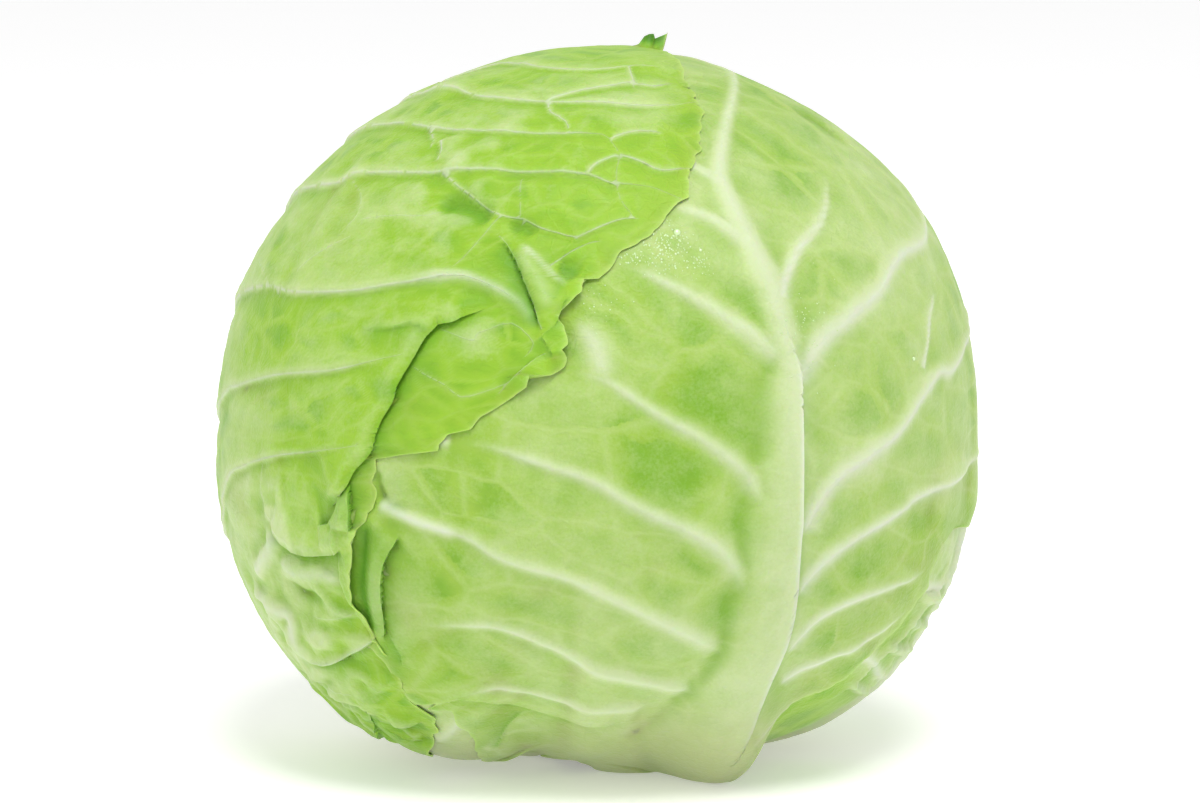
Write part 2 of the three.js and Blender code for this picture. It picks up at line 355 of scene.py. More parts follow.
class Relief:
    """What a leaf's lines add up to at each of its points."""

    def __init__(self, points, lines, snap=0.5):
        self.points = points.copy()
        for line in lines:
            if line.crisp:
                near, away, share, left = line.measure(self.points, snap)
                inside = (share > 0.01) & (share < 0.99)
                self.points[near[inside]] -= (away[:, None] * left)[inside]
        count = len(points)
        self.ridge, self.step, self.vein, self.halo, self.crease = np.zeros((5, count))
        self.slide = np.zeros((count, 3))
        self.spacing = np.full(count, FAR_FROM_VEIN)
        self.thin = np.full(count, FAR_FROM_THIN)
        for line in lines:
            self.add(line)

    def add(self, line):
        reach = max(14.0, 3.2 * line.step_reach, 2.2 * max(w for _, w in line.width))
        near, away, share, left = line.measure(self.points, reach)
        if line.crisp:
            away = np.where(np.abs(away) < 0.15, 0.0, away)
        start, end = line.fade
        fading = np.minimum(
            smoothstep(0, max(start, 1e-3), share + 1e-3) if start else 1.0,
            smoothstep(0, max(end, 1e-3), 1 - share) if end else 1.0,
        )
        width, height, glow, glow_width = (
            np.interp(share, *zip(*table))
            for table in (line.width, line.height, line.glow, line.glow_width)
        )
        bump = np.exp(-np.abs(away / width) ** line.power)
        ridge = height * fading * bump
        self.ridge[near] = np.maximum(self.ridge[near], ridge)
        self.step[near] += np.minimum(ridge, 0)
        if line.step or line.dip or line.overhang:
            sharp = line.crisp and not line.soft
            high = away >= -1e-9 if sharp else smoothstep(-1, 1, away / (line.soft or 0.5))
            above = np.exp(-np.maximum(away, 0) / line.step_reach)
            if line.overhang:
                above *= 0.25 + 0.75 * smoothstep(0, 2.2, away)
            below = np.exp(-np.maximum(-away, 0) / line.dip_reach)
            self.step[near] += fading * (line.step * above * high - line.dip * below * (1 - high))
            if line.overhang:
                upper, lower = np.exp(-np.maximum(away, 0) / 3.5), np.exp(-np.abs(away) / 1.5)
                over = np.where(high > 0.5, -upper, 0.55 * lower)
                self.slide[near] += (line.overhang * fading * over)[:, None] * left
        shine = glow * fading
        if line.crisp:
            off = np.abs(away) / (glow_width * (0.25 + 0.75 * np.minimum(shine * 1.3, 1)))
            off = off + 0.72 * (1 - smoothstep(0.12, 0.4, shine))
            self.thin[near] = np.minimum(self.thin[near], np.where(shine > 0, off, FAR_FROM_THIN))
        else:
            core = np.exp(-np.abs(away) / (0.4 * glow_width))
            pale = shine * (0.6 * np.exp(-((away / glow_width) ** 2)) + 0.4 * core)
            self.vein[near] = np.maximum(self.vein[near], pale)
        self.halo[near] = np.maximum(
            self.halo[near], shine * np.exp(-np.abs(away) / (2.4 * glow_width))
        )
        # Painted shade: the low side of the line, and a little of its lip, are painted darker where
        # shade falls beside it.
        if line.crease:
            depth = np.abs(away)
            below = 0.55 * np.exp(-depth / 1.5) + 0.45 * np.exp(-depth / 5.5)
            lip = (away >= 0) & (line.step != 0)
            low = np.where(lip, 0.3 * np.exp(-((away / 0.5) ** 2)), below)
            self.crease[near] = np.maximum(self.crease[near], line.crease * fading * low)
        if max(g for _, g in line.glow) > 0.3:
            self.spacing[near] = np.minimum(self.spacing[near], np.abs(away))


def net(points, outline, size, stretch, slope, seed, waver=1.6):
    """Distance from each point to the edge between its two nearest cells of a fine vein net."""
    chance = np.random.default_rng(seed)
    count = int(4 * math.pi * MAP_RADIUS**2 / size**2)
    seeds = unit(chance.normal(size=(count, 3)))
    seeds = seeds[outline.outside(seeds) < 6] * MAP_RADIUS
    wavy = points + waver * np.stack([rumple(points, 7, seed + k) for k in range(3)], axis=-1)
    turn, stretch = slope * DEGREE, np.array(stretch)
    tilted = np.array(
        ((math.cos(turn), 0, -math.sin(turn)), (0, 1, 0), (math.sin(turn), 0, math.cos(turn)))
    )
    wavy, seeds = wavy @ tilted * stretch, seeds @ tilted * stretch
    squares = (seeds**2).sum(axis=1)
    edge = np.empty(len(points))
    for start in range(0, len(points), 8192):
        part = wavy[start : start + 8192]
        away = squares - 2 * part @ seeds.T
        near = np.argpartition(away, 1, axis=1)[:, :2]
        rows = np.arange(len(part))[:, None]
        a, b = away[rows, near].T
        apart = np.linalg.norm(seeds[near[:, 0]] - seeds[near[:, 1]], axis=1)
        edge[start : start + 8192] = np.abs(a - b) / (2 * apart)
    return edge


# ---- Leaves -------------------------------------------------------------------------------------


def square_from_disc(across, along):
    """The place on a square, -1 to 1, that the disc map takes to (across, along)."""
    tilt = across**2 - along**2
    edge_x, edge_y = 2 * math.sqrt(2) * across, 2 * math.sqrt(2) * along
    x = np.sqrt(np.maximum(2 + tilt + edge_x, 0)) - np.sqrt(np.maximum(2 + tilt - edge_x, 0))
    y = np.sqrt(np.maximum(2 - tilt + edge_y, 0)) - np.sqrt(np.maximum(2 - tilt - edge_y, 0))
    return np.clip(x / 2, -1, 1), np.clip(y / 2, -1, 1)


def neighbours(grid, axis):
    """Each cell's next and last cell along an axis; a cell at the edge is its own neighbour."""
    padded = np.pad(grid, [(1, 1) if k == axis else (0, 0) for k in (0, 1)], mode="edge")
    size = padded.shape[axis]
    return np.take(padded, range(2, size), axis), np.take(padded, range(size - 2), axis)


def widest(grid, steps):
    """The largest value within some cells of each cell."""
    for _ in range(steps):
        for axis in (0, 1):
            grid = np.maximum(grid, np.maximum(*neighbours(grid, axis)))
    return grid


def softened(grid, steps):
    """The grid with its bumps smaller than a few cells smoothed away."""
    for _ in range(steps):
        for axis in (0, 1):
            ahead, behind = neighbours(grid, axis)
            grid = (2 * grid + ahead + behind) / 4
    return grid


def nearness(directions, spot, spread, power=2):
    """1 at a spot, dying away over a spread in degrees."""
    return np.exp(-((degrees_apart(directions, spot) / spread) ** power))


class Leaf:
    """One wrapper leaf: a slab of cells bent round the head inside the leaf's outline."""

    laid = []  # the leaves built so far, innermost first
    turn, lean = 45.0, (0.0, 0.0)  # how the cells are turned and crowded inside the outline
    net_size, net_stretch, net_slope, net_height = 9.0, (1, 1, 1), 0.0, 0.12
    wave, wrinkle, ruffle, scallop = 0.8, 0.0, 0.6, 0.5
    lifts, crumples, tones = (), (), ()  # at spots: margin raised, leaf crumpled, leaf made paler or darker, partly in its own tone and partly as painted highlight and shade

    def __init__(self, name, outline, cells, **settings):
        self.name, self.outline, self.cells = name, outline, cells
        vars(self).update(settings)

    def grid(self):
        """Bearing and share of the reach at each corner of the slab's cells."""
        t = np.linspace(-1, 1, self.cells + 1)
        x, y = (t + lean * (1 - t * t) for lean in self.lean)
        y, x = np.meshgrid(y, x, indexing="ij")
        across, along = x * np.sqrt(1 - y * y / 2), y * np.sqrt(1 - x * x / 2)
        bearing = np.degrees(np.arctan2(across, along)) + self.turn
        share = np.hypot(across, along)
        return (bearing.ravel() + 180) % 360 - 180, np.clip(share.ravel(), 0, 1)

    def sample(self, directions):
        """The radius of the leaf's outside in given directions; none where it doesn't reach."""
        bearing, reach = self.outline.locate(directions)
        share = reach / self.outline.reach(bearing)
        turned = (bearing - self.turn) * DEGREE
        inside = share <= 1
        share = np.minimum(share, 1)
        places = square_from_disc(share * np.sin(turned), share * np.cos(turned))
        spots = []
        for place, lean in zip(places, self.lean):
            if lean:
                root = np.sqrt(np.maximum(1 - 4 * lean * (place - lean), 0))
                place = (1 - root) / (2 * lean)
            spots.append(np.clip((place + 1) / 2, 0, 1) * self.cells * 0.999999)
        (ix, iy), (fx, fy) = zip(*((s.astype(int), s % 1) for s in spots))
        heights = self.outer
        value = (
            (heights[iy, ix] * (1 - fx) + heights[iy, ix + 1] * fx) * (1 - fy) + (heights[iy + 1,
                ix] * (1 - fx) + heights[iy + 1, ix + 1] * fx) * fy
        )  # fmt: skip
        return np.where(inside, value, -np.inf)

    def shape(self, leaves, sizes):
        """Works out the outside and inside of the leaf, lying on the leaves already laid."""
        bearing, share = self.grid()
        side = self.cells + 1
        edge = share**MARGIN_POWER
        rim_mm = (1 - share) * self.outline.reach(bearing) * DEGREE * MAP_RADIUS
        jag = self.outline.fringe(bearing)
        angle = bearing * DEGREE
        around = np.stack((np.cos(angle), np.sin(angle), 0 * angle), -1) * AROUND_RADIUS
        jag = jag + self.scallop * 0.6 * (np.abs(rumple(around, 3.6, self.seed)) - 0.35)
        reach = share * (self.outline.reach(bearing) + jag * edge)
        points = self.outline.direction(bearing, reach) * MAP_RADIUS
        relief = Relief(points, self.lines)
        points = unit(relief.points) * MAP_RADIUS
        directions = points / MAP_RADIUS

        base = head_radius(directions)
        for leaf in leaves[leaves.index(self) + 1 :]:
            base -= sizes.pitch * (1 - smoothstep(-12, 0.5, leaf.outline.outside(directions)))
        lower = np.zeros(len(directions))
        for leaf in Leaf.laid:
            lower = np.maximum(lower, leaf.sample(directions))
        raw = np.where(lower > 0, lower, base - 4 * sizes.pitch)
        bed = softened(widest(raw.reshape(side, side), 2), 4).ravel()
        bed = np.maximum(bed, raw)

        thickness = MARGIN_THICKNESS + (sizes.thickness - MARGIN_THICKNESS) * smoothstep(
            0, THINNING, rim_mm
        )  # fmt: skip
        wave = self.wave * (
            rough(points, 27, self.seed)
            + 0.5 * rough(points, 10, self.seed + 2)
            + 0.1 * rough(points, 3.2, self.seed + 6)
        )
        for spot, spread, depth, size in self.crumples:
            creased = 1 - 2.2 * np.abs(rough(points, size, self.seed + 8))
            near = nearness(directions, spot, spread)
            wave = wave + depth * creased * near
            # Painted highlight along the crumples' ridges, over the veins' own pale halo.
            relief.halo = np.maximum(relief.halo, 0.6 * near * smoothstep(0.5, 1.0, creased))
        if self.wrinkle:
            wave = wave + self.wrinkle * rough(points * (0.35, 0.35, 1.6), 5.5, self.seed + 4)
        calm = 1 - 0.7 * smoothstep(0.5, 3.0, relief.ridge)
        net_shape = (self.net_size, self.net_stretch, self.net_slope)
        edges = net(points, self.outline, *net_shape, self.seed)
        drawn = 1 - 0.45 * smoothstep(9, 24, relief.spacing)
        netting = np.exp(-((edges / NET_WIDTH) ** 2)) * smoothstep(0.8, 3.5, relief.spacing) * drawn
        wave = calm * wave + self.net_height * (
            netting
            + 1.6 * drawn * (1 - np.exp(-edges / 2.2)) * smoothstep(1, 5, relief.spacing)
        )
        outer = smooth_max(base + wave, bed + sizes.gap + thickness, 0.7)
        outer = outer + relief.ridge * sizes.vein_height + relief.step
        flutter = self.ruffle * rumple(around, 9.0, self.seed + 1) * share**10
        for spot, height, size in self.lifts:
            raised = height * nearness(directions, spot, size, 4) * share**20
            flutter = flutter + raised
            # Painted shade on the margin's tall raised curls, such as the crown's frill.
            relief.crease = np.maximum(relief.crease, np.minimum(raised / 1.2, 2) * (height > 2.0))
        outer = np.maximum(outer + flutter, raw + CLEARANCE + thickness)
        self.outer = outer.reshape(side, side)
        # The rise paints light and shade into the colour: raised places paler, dips deeper green.
        rise = (self.outer - softened(self.outer, RISE_CELLS)).ravel()

        floor = LOWEST - CENTRE[2]
        outside = directions * outer[:, None] + relief.slide
        outside[:, 2] = smooth_max(outside[:, 2], floor, 1.2)
        low = -widest(-self.outer, 3).ravel()
        under = low + (outer - low) * edge - thickness - relief.ridge * sizes.vein_height
        # The inside's cells are broad and flat, so each keeps clear of the highest place in it.
        across = UNDER_SHARE * 2 * self.outline.reaches.mean() * DEGREE * MAP_RADIUS / self.cells
        highest = widest(raw.reshape(side, side), UNDER_SHARE + 1).ravel()
        clear = highest + across**2 / (4 * MAP_RADIUS) + CLEARANCE
        clear = raw + 0.1 + (np.maximum(clear, raw + 0.1) - raw - 0.1) * (1 - edge)
        under = np.minimum(np.maximum(under, clear), outer - MARGIN_THICKNESS)
        inside = directions * under[:, None] + relief.slide * edge[:, None]
        inside[:, 2] = np.maximum(inside[:, 2], floor + 0.35)
        foot = self.outline.direction(180.0, self.outline.reach(np.array(180.0)))
        from_foot = degrees_apart(directions, foot)
        looks = {
            "vein": relief.vein,
            "net": netting,
            "crease": relief.crease,
            "halo": relief.halo,
            "thin": relief.thin,
            "cell": edges,
            "rise": np.clip(rise / 0.8, -1, 1),
            "rim": rim_mm,
            "foot": 1 - smoothstep(8, 62, from_foot),
            "spacing": relief.spacing,
            # The tone is partly the leaf's own colour and partly painted highlight and shade at
            # given spots.
            "tone": sum(
                (paler * nearness(directions, spot, spread) for spot, spread, paler in self.tones),
                0 * share,
            ),
        }
        return outside + CENTRE, inside + CENTRE, looks

    def build(self, leaves, sizes):
        """The leaf as a closed mesh object."""
        outside, inside, looks = self.shape(leaves, sizes)
        under_cells = self.cells // UNDER_SHARE
        blank = leaf_blank(self.name, self.cells, under_cells)
        side = self.cells + 1
        rim = read_points(blank.data)[side * side : side * side + 4 * self.cells, :2]
        column, row = np.rint((rim.T + 1) / 2 * self.cells).astype(int)
        steps = np.clip(np.arange(0, side, UNDER_SHARE), 3, self.cells - 3)
        under = (steps[:, None] * side + steps).ravel()
        picked = np.concatenate((row * side + column, under))
        shaped = np.concatenate((outside, inside[picked]))
        layers = {name: np.concatenate((values, values[picked])) for name, values in looks.items()}
        write_points(blank.data, shaped, layers)
        bpy.ops.object.shade_smooth_by_angle(angle=math.radians(62))
        Leaf.laid.append(self)
        return blank


def read_points(mesh):
    """The mesh's vertices, in metres."""
    values = np.empty(len(mesh.vertices) * 3)
    mesh.vertices.foreach_get("co", values)
    return values.reshape(-1, 3)


def write_points(mesh, points, layers):
    """Moves the vertices to points in millimetres and gives them their attributes."""
    mesh.vertices.foreach_set("co", (points * MM).astype(np.float32).ravel())
    for name, values in layers.items():
        layer = mesh.attributes.new(name, "FLOAT", "POINT")
        layer.data.foreach_set("value", values.astype(np.float32))
    mesh.update()


def deselect_all():
    if bpy.context.object and bpy.context.object.mode != "OBJECT":
        bpy.ops.object.mode_set(mode="OBJECT")
    bpy.ops.object.select_all(action="DESELECT")


def leaf_blank(name, cells, under_cells):
    """A closed slab: a fine grid with a rim, over a coarse grid bridged to the rim."""
    deselect_all()
    halves = []
    for count, height in ((cells, 0.05), (under_cells, -0.05)):
        bpy.ops.mesh.primitive_grid_add(
            x_subdivisions=count, y_subdivisions=count, size=2, location=(0, 0, height)
        )
        halves.append(bpy.context.object)
        bpy.ops.object.mode_set(mode="EDIT")
        if height < 0:
            bpy.ops.mesh.flip_normals()
        else:
            bpy.ops.mesh.select_mode(type="EDGE")
            bpy.ops.mesh.select_all(action="DESELECT")
            bpy.ops.mesh.select_non_manifold(extend=False)
            bpy.ops.mesh.extrude_region_move(TRANSFORM_OT_translate={"value": (0, 0, -0.05)})
        bpy.ops.object.mode_set(mode="OBJECT")
    outer = halves[0]
    outer.select_set(True)
    bpy.context.view_layer.objects.active = outer
    bpy.ops.object.join()
    bpy.ops.object.mode_set(mode="EDIT")
    bpy.ops.mesh.select_mode(type="EDGE")
    bpy.ops.mesh.select_all(action="DESELECT")
    bpy.ops.mesh.select_non_manifold(extend=False)
    bpy.ops.mesh.bridge_edge_loops()
    bpy.ops.object.mode_set(mode="OBJECT")
    bpy.ops.object.shade_smooth()
    bpy.ops.object.transform_apply(location=True, rotation=True, scale=True)
    outer.name = outer.data.name = name
    return outer


# ---- The leaves' lines --------------------------------------------------------------------------


def rib(path, size=1.0, **more):
    """A broad, soft, pale side rib of a thick leaf."""
    settings = dict(
        width=((0, 3.6 * size), (0.25, 2.7 * size), (0.6, 1.8 * size), (1, 0.8)),
        height=((0, 1.6 * size), (0.5, 0.95 * size), (1, 0.25 * size)),
        power=1.7,
        step=0.4 * size,
        step_reach=7,
        dip=0.35 * size,
        dip_reach=3,
        soft=1.0,
        glow=((0, 0.8), (0.4, 0.9), (1, 0.4)),
        glow_width=((0, 2.6 * size), (0.3, 1.6 * size), (1, 0.7)),
        fade=(0.15, 0.25),
    )  # fmt: skip
    return Line(path, **{**settings, **more})


def cord(path, size=1.0, **more):
    """A thin, crisp main vein whose leaf steps down just below it."""
    settings = dict(
        width=((0, 1.6 * size), (1, 0.9 * size)),
        height=((0, 0.5 * size), (1, 0.2 * size)),
        step=0.85 * size,
        step_reach=9,
        dip=0.5 * size,
        dip_reach=3.5,
        soft=1.3,
        glow=((0, 0.8), (1, 0.4)),
        glow_width=((0, 0.5 * size), (1, 0.35 * size)),
        # Painted shade just below the vein.
        crease=0.15,
        crisp=True,
        fade=(0.02, 0.15),
    )  # fmt: skip
    return Line(path, **{**settings, **more})


def thread(path, size=1.0, **more):
    """A fine cross vein."""
    settings = dict(
        width=1.1 * size, height=0.16 * size, step=0.22 * size, step_reach=4, dip=0.14 * size,
        dip_reach=2.5, soft=0.8, glow=0.14, glow_width=0.55 * size, crisp=True, fade=(0.15, 0.35),
    )  # fmt: skip
    return Line(path, **{**settings, **more})


def fold(path, lift, overhang, high, **more):
    """A free edge or fold lying over the leaf beside it, with painted shade beside it and, where
    glow is given, a painted highlight along its lip.
    """
    settings = dict(
        width=0.8, height=0.25, step=lift, step_reach=7, dip=lift / 3, dip_reach=3.5, glow=0.0,
        glow_width=0.4, crease=1.0, overhang=overhang, high=high, crisp=True, fade=(0.12, 0.12),
    )  # fmt: skip
    return Line(path, **{**settings, **more})


def groove(path, width, depth, crease, fade):
    """A soft hollow, with painted shade along its bottom."""
    return Line(path, width=width, height=-depth, crease=crease, fade=fade)


def swell(path, width, height, glow, glow_width, fade):
    """A soft ridge, paler along its top: partly the vein's own pale tissue, partly a painted
    highlight where the light catches it.
    """
    return Line(path, width=width, height=height, glow=glow, glow_width=glow_width, fade=fade)


def grown_lines(outline, seed, sway=0.0, pairs=7, size=1.0):
    """The midrib, side ribs and their forks of a whole leaf."""
    chance = np.random.default_rng(seed)
    foot, tip = -float(outline.reach(np.array(180.0))), float(outline.reach(np.array(0.0)))
    spine = [(0, foot * 0.99), (0, foot * 0.6), (sway * 0.4, foot * 0.2), (sway, tip * 0.3),
             (sway * 1.3, tip * 0.62), (sway * 1.2, tip * 0.9)]  # fmt: skip
    lines = [
        Line(
            [outline.place(*spot) for spot in spine],
            width=((0, 9.5 * size), (0.2, 6.2 * size), (0.5, 3.6 * size), (1, 1.2)),
            height=((0, 4.0 * size), (0.25, 2.6 * size), (0.6, 1.5 * size), (1, 0.4)),
            glow=((0, 1.0), (1, 0.7)), glow_width=((0, 12 * size), (0.3, 7.5 * size), (1, 2.4)),
            fade=(0, 0.1), power=2.6,
        )
    ]  # fmt: skip
    along = np.array([spot[1] for spot in spine])
    for side in (-1, 1):
        for k in range(pairs):
            share = (k + 0.5 * chance.random()) / pairs
            start = foot * 0.72 + (tip * 0.72 - foot * 0.72) * share
            root = (float(np.interp(start, along, [spot[0] for spot in spine])), start)
            bearing = side * (118 - 96 * share**0.9 + 5 * chance.normal())
            reach = 0.95 * float(outline.reach(np.array(bearing)))
            end = (reach * math.sin(bearing * DEGREE), reach * math.cos(bearing * DEGREE))
            bow = (root[0] + 0.5 * (end[0] - root[0]), root[1] + (end[1] - root[1]) * 0.34)
            spots = []
            for t in np.linspace(0, 1, 7):
                spot = [
                    (1 - t) ** 2 * a + 2 * t * (1 - t) * b + t * t * c
                    for a, b, c in zip(root, bow, end)
                ]
                if 0 < t < 1:
                    spot = [value + 0.9 * chance.normal() for value in spot]
                spots.append(spot)
            path = [outline.place(*spot) for spot in spots]
            lines.append(rib(path, (0.85 - 0.25 * share) * size))
            fork = spots[3 + int(2 * chance.random())]
            for turned in (-11, 11):
                far = bearing + turned + 3 * chance.normal()
                reach = 0.92 * float(outline.reach(np.array(far)))
                end = (reach * math.sin(far * DEGREE), reach * math.cos(far * DEGREE))
                branch = [fork, [(a + b) / 2 + chance.normal() for a, b in zip(fork, end)], end]
                lines.append(rib([outline.place(*spot) for spot in branch], 0.42 * size))
    return lines


def front_leaf_lines():
    """The front cover leaf: its thick midrib rises from the foot, right of the middle."""
    spine = globes((22, -80)) + views(
        (24, -91), (34, -74), (42, -59), (45.5, -39), (47, -24), (48, -6), (48, 6), (45, 21),
        (42, 31), (36, 43), (31, 54), (30, 60), (32, 71),
    ) + globes((52, 58), (68, 62.5), (88, 66), (120, 72), (150, 74))  # fmt: skip
    ridge = views(
        (45, 21), (49, 9), (50, -6), (50, -22), (49, -39), (48, -49.5), (45.5, -59), (42.5, -65.5),
        (37.5, -75), (31, -84),
    )  # fmt: skip
    lines = [
        Line(
            spine,
            width=((0, 14.0), (0.13, 12.0), (0.2, 9.5), (0.28, 7.6), (0.4, 6.2), (0.51, 4.4),
                (0.64, 2.8), (0.78, 1.4), (1, 1.0)),
            height=((0, 8.0), (0.13, 6.5), (0.2, 4.0), (0.28, 2.6), (0.4, 2.0), (0.51, 1.8),
                (0.64, 1.3), (0.78, 0.9), (1, 0.3)),
            glow=((0, 0.2), (0.15, 0.2), (0.3, 0.2), (0.5, 0.35), (0.64, 0.6), (0.78, 0.5),
                (1, 0.6)),
            glow_width=((0, 17.0), (0.2, 12.0), (0.4, 8.5), (0.51, 4.6), (0.64, 2.0), (0.78, 1.0),
                (1, 0.8)),
            fade=(0, 0.06), power=2.3,
        ),
        # Painted highlight: a pale line along the midrib's right ridge, where the light catches it,
        # drawn by this crisp line and the swell after it.
        Line(ridge, width=0.9, height=0.9, step=0.9, step_reach=3.0, dip=1.1, dip_reach=3.5,
            glow=1.0, glow_width=0.7, crease=0.1, high="right", fade=(0.15, 0.15), crisp=True),
        swell(ridge, 1.6, 0.5, 0.75, 1.3, (0.2, 0.15)),
        groove(views((37.5, 12), (38.5, 0), (38.5, -12.5), (36, -27), (35.5, -40), (32.5, -48),
            (30, -62), (21, -73), (6, -84)), 2.6, 0.8, 0.06, (0.3, 0.1)),
        swell(views((-7, 22), (-2, 17), (1, 10), (4, 3)), 3.5, 0.6, 0.5, 2.6, (0.3, 0.4)),
        # Painted highlight: a pale line along the rib's top, continuing the rib's highlight.
        swell(views((-36, -9), (-44, -8.5), (-52, -10)), 2.0, 0.6, 0.5, 1.5, (0.1, 0.3)),
    ]  # fmt: skip
    left_ribs = (
        (0.55, ((31, 54), (27.5, 57), (23, 60), (21, 62))),
        (0.8, ((39, 38), (34, 42), (28.5, 46), (22, 48.5), (17.5, 50))),
        (1.0, ((47, 8), (38.5, 17), (31, 22), (23, 27), (15, 31), (9, 34), (5, 35))),
        (0.95, ((41, -27), (39, -21.5), (35.5, -16), (26.5, -9), (17.5, -4), (9, 1.5), (2, 6),
            (-8, 8.5))),
        (1.0, ((38, -49), (35.5, -44), (32, -38), (26.5, -33.5), (21, -30.5), (15, -28), (7, -24),
            (-1.5, -19), (-16.5, -14), (-27, -10.5), (-36, -9))),
        (0.95, ((33, -64.5), (28.5, -60.5), (22.5, -57), (15, -53.5), (6.5, -49.5), (-2, -45.5),
            (-9.5, -42.5), (-15, -41), (-21, -39.5), (-26, -37.5), (-31, -34), (-37, -31.5),
            (-43, -29.5), (-49, -27.5), (-54, -25.5))),
        (0.9, ((26, -73.5), (21, -71), (13, -69), (5.5, -67), (-0.5, -65.5), (-8.5, -61.5),
            (-14.5, -59), (-19, -57), (-27, -55), (-37, -55), (-46, -55))),
        (0.7, ((14, -75), (5.5, -74.5), (-4.5, -74), (-16, -71.5), (-26, -69.5), (-34.5, -71))),
    )  # fmt: skip
    right_ribs = (
        (0.6, ((45, 26), (47, 32.5), (50, 39), (53, 42.5), (55, 45), (57, 50), (57, 58)), ()),
        (1.0, ((49, 4), (52, 10), (55, 15), (60, 19.5), (65, 24), (68.5, 27), (71, 30), (75, 37),
            (81.5, 44.5)), ((106, 40),)),
        (1.0, ((50.5, -33.5), (54, -26), (59, -19), (67, -13), (75, -6.5), (80.5, 2), (85, 8),
            (89, 10)), ((102, 13), (109, 14))),
        (0.85, ((49, -48), (53.5, -42), (59, -37), (65, -33), (71, -29.5), (77, -25.5), (82, -22)),
            ((92, -9),)),
        (0.8, ((47, -61), (51, -57), (55, -53), (63, -49), (71, -46), (77, -43), (82, -40)), ()),
        (0.75, ((45, -69), (50, -66), (55, -64), (63, -60), (71, -55), (77, -50)), ()),
        (0.7, ((37, -80), (48, -75), (58, -71), (63, -67)), ()),
        (0.3, ((81, 9), (82, 15), (82.5, 22), (84, 29)), ()),
    )  # fmt: skip
    lines += [
        rib(views(*spots), size, glow=((0, 0.45), (0.3, 0.5), (0.7, 0.45), (1, 0.6)),
            glow_width=((0, 3.2 * size), (0.3, 2.2 * size), (1, 1.0)))
        for size, spots in left_ribs
    ]  # fmt: skip
    lines += [
        rib(views(*spots) + globes(*beyond), size, fade=(0.03, 0.25),
            height=((0, 1.0 * size), (0.5, 0.8 * size), (1, 0.2)),
            glow_width=((0, 3.4 * size), (0.3, 1.7 * size), (1, 0.7)))
        for size, spots, beyond in right_ribs
    ]  # fmt: skip
    lines += [
        fold(views((-49.5, -32), (-52.5, -36), (-54, -40), (-54.3, -46), (-54, -51), (-53, -59)),
            1.8, 0.9, "right", step_reach=5, dip=1.5, dip_reach=4, crease=1.5),
        groove(views((-56.8, -27), (-58, -33), (-58.2, -40), (-58.2, -47), (-57, -53), (-54, -58)),
            1.7, 1.0, 1.5, (0.15, 0.15)),
        # Painted highlight: a pale line along the top of the rib that runs beside it.
        swell(views((-54.5, -23.5), (-47, -28), (-40, -30.5), (-32, -33)), 1.8, 1.0, 0.9, 1.3,
            (0.1, 0.25)),
        fold(views((-53.5, -49), (-52.5, -54), (-50, -58), (-48, -62), (-48, -65)), 0.9, 0.5,
            "left", step_reach=3),
        groove(views((-54.5, -15), (-55, -19), (-54, -22), (-51, -25), (-46, -26.5)), 1.1, 0.9, 0.5,
            (0.2, 0.3)),
        fold(views((-39, -73), (-33, -71.5), (-26, -72.5), (-17, -75), (-8, -77.5), (2, -78),
            (12, -76.5)), 0.9, 0.4, "up", step_reach=5, crease=0.4, fade=(0.1, 0.3)),
        fold(views((-18, -76), (-22, -79), (-24, -83)), 0.6, 0.3, "left", step_reach=3),
    ]  # fmt: skip
    return lines


FRONT_MARGINS = (
    ((-62, -12), (-63, -24), (-64, -39), (-62, -50), (-58.5, -57), (-54, -63), (-49, -69),
        (-45, -74), (-42, -75), (-39, -73), (-36, -75), (-33, -79.5), (-30, -81), (-26.5, -85),
        (-23.5, -85), (-15.5, -87), (-12, -86)),
    ((88.5, -30), (85.5, -35), (83.8, -38.8), (81.8, -43.8), (78.5, -50), (74.2, -55),
        (70.5, -58.8), (66, -62.5), (61.8, -66.5), (57, -70), (50, -73)),
)  # fmt: skip
LEFT_MARGINS = (
    ((16.75, 90), (23, 78.75), (26.25, 72.5), (25.5, 63.75), (23, 56.25), (23, 51), (20.5, 50),
        (14.25, 42.5), (10.5, 40), (6.25, 38.25), (1, 31), (-2.75, 31), (-3.25, 27.5),
        (-9.5, 22.25), (-8, 19.5), (-7.5, 14.75), (-9, 9.5), (-12.25, 7.25), (-17.25, 7),
        (-18, 4.25), (-22.5, 1.25), (-28.75, -3), (-30.5, -6), (-36.75, -7.25), (-39.25, -11.25),
        (-48.25, -12.25), (-55, -13.4), (-54.6, -16.5), (-55.6, -19.5), (-54.8, -22.5),
        (-55, -25.5), (-58, -29.5), (-59.2, -34), (-59, -38.75), (-59, -48.75), (-57.5, -51.25),
        (-54.5, -58), (-49.5, -65), (-45.75, -73.75), (-39.5, -77.5), (-40, -81.25),
        (-40.5, -86.75)),
)  # fmt: skip


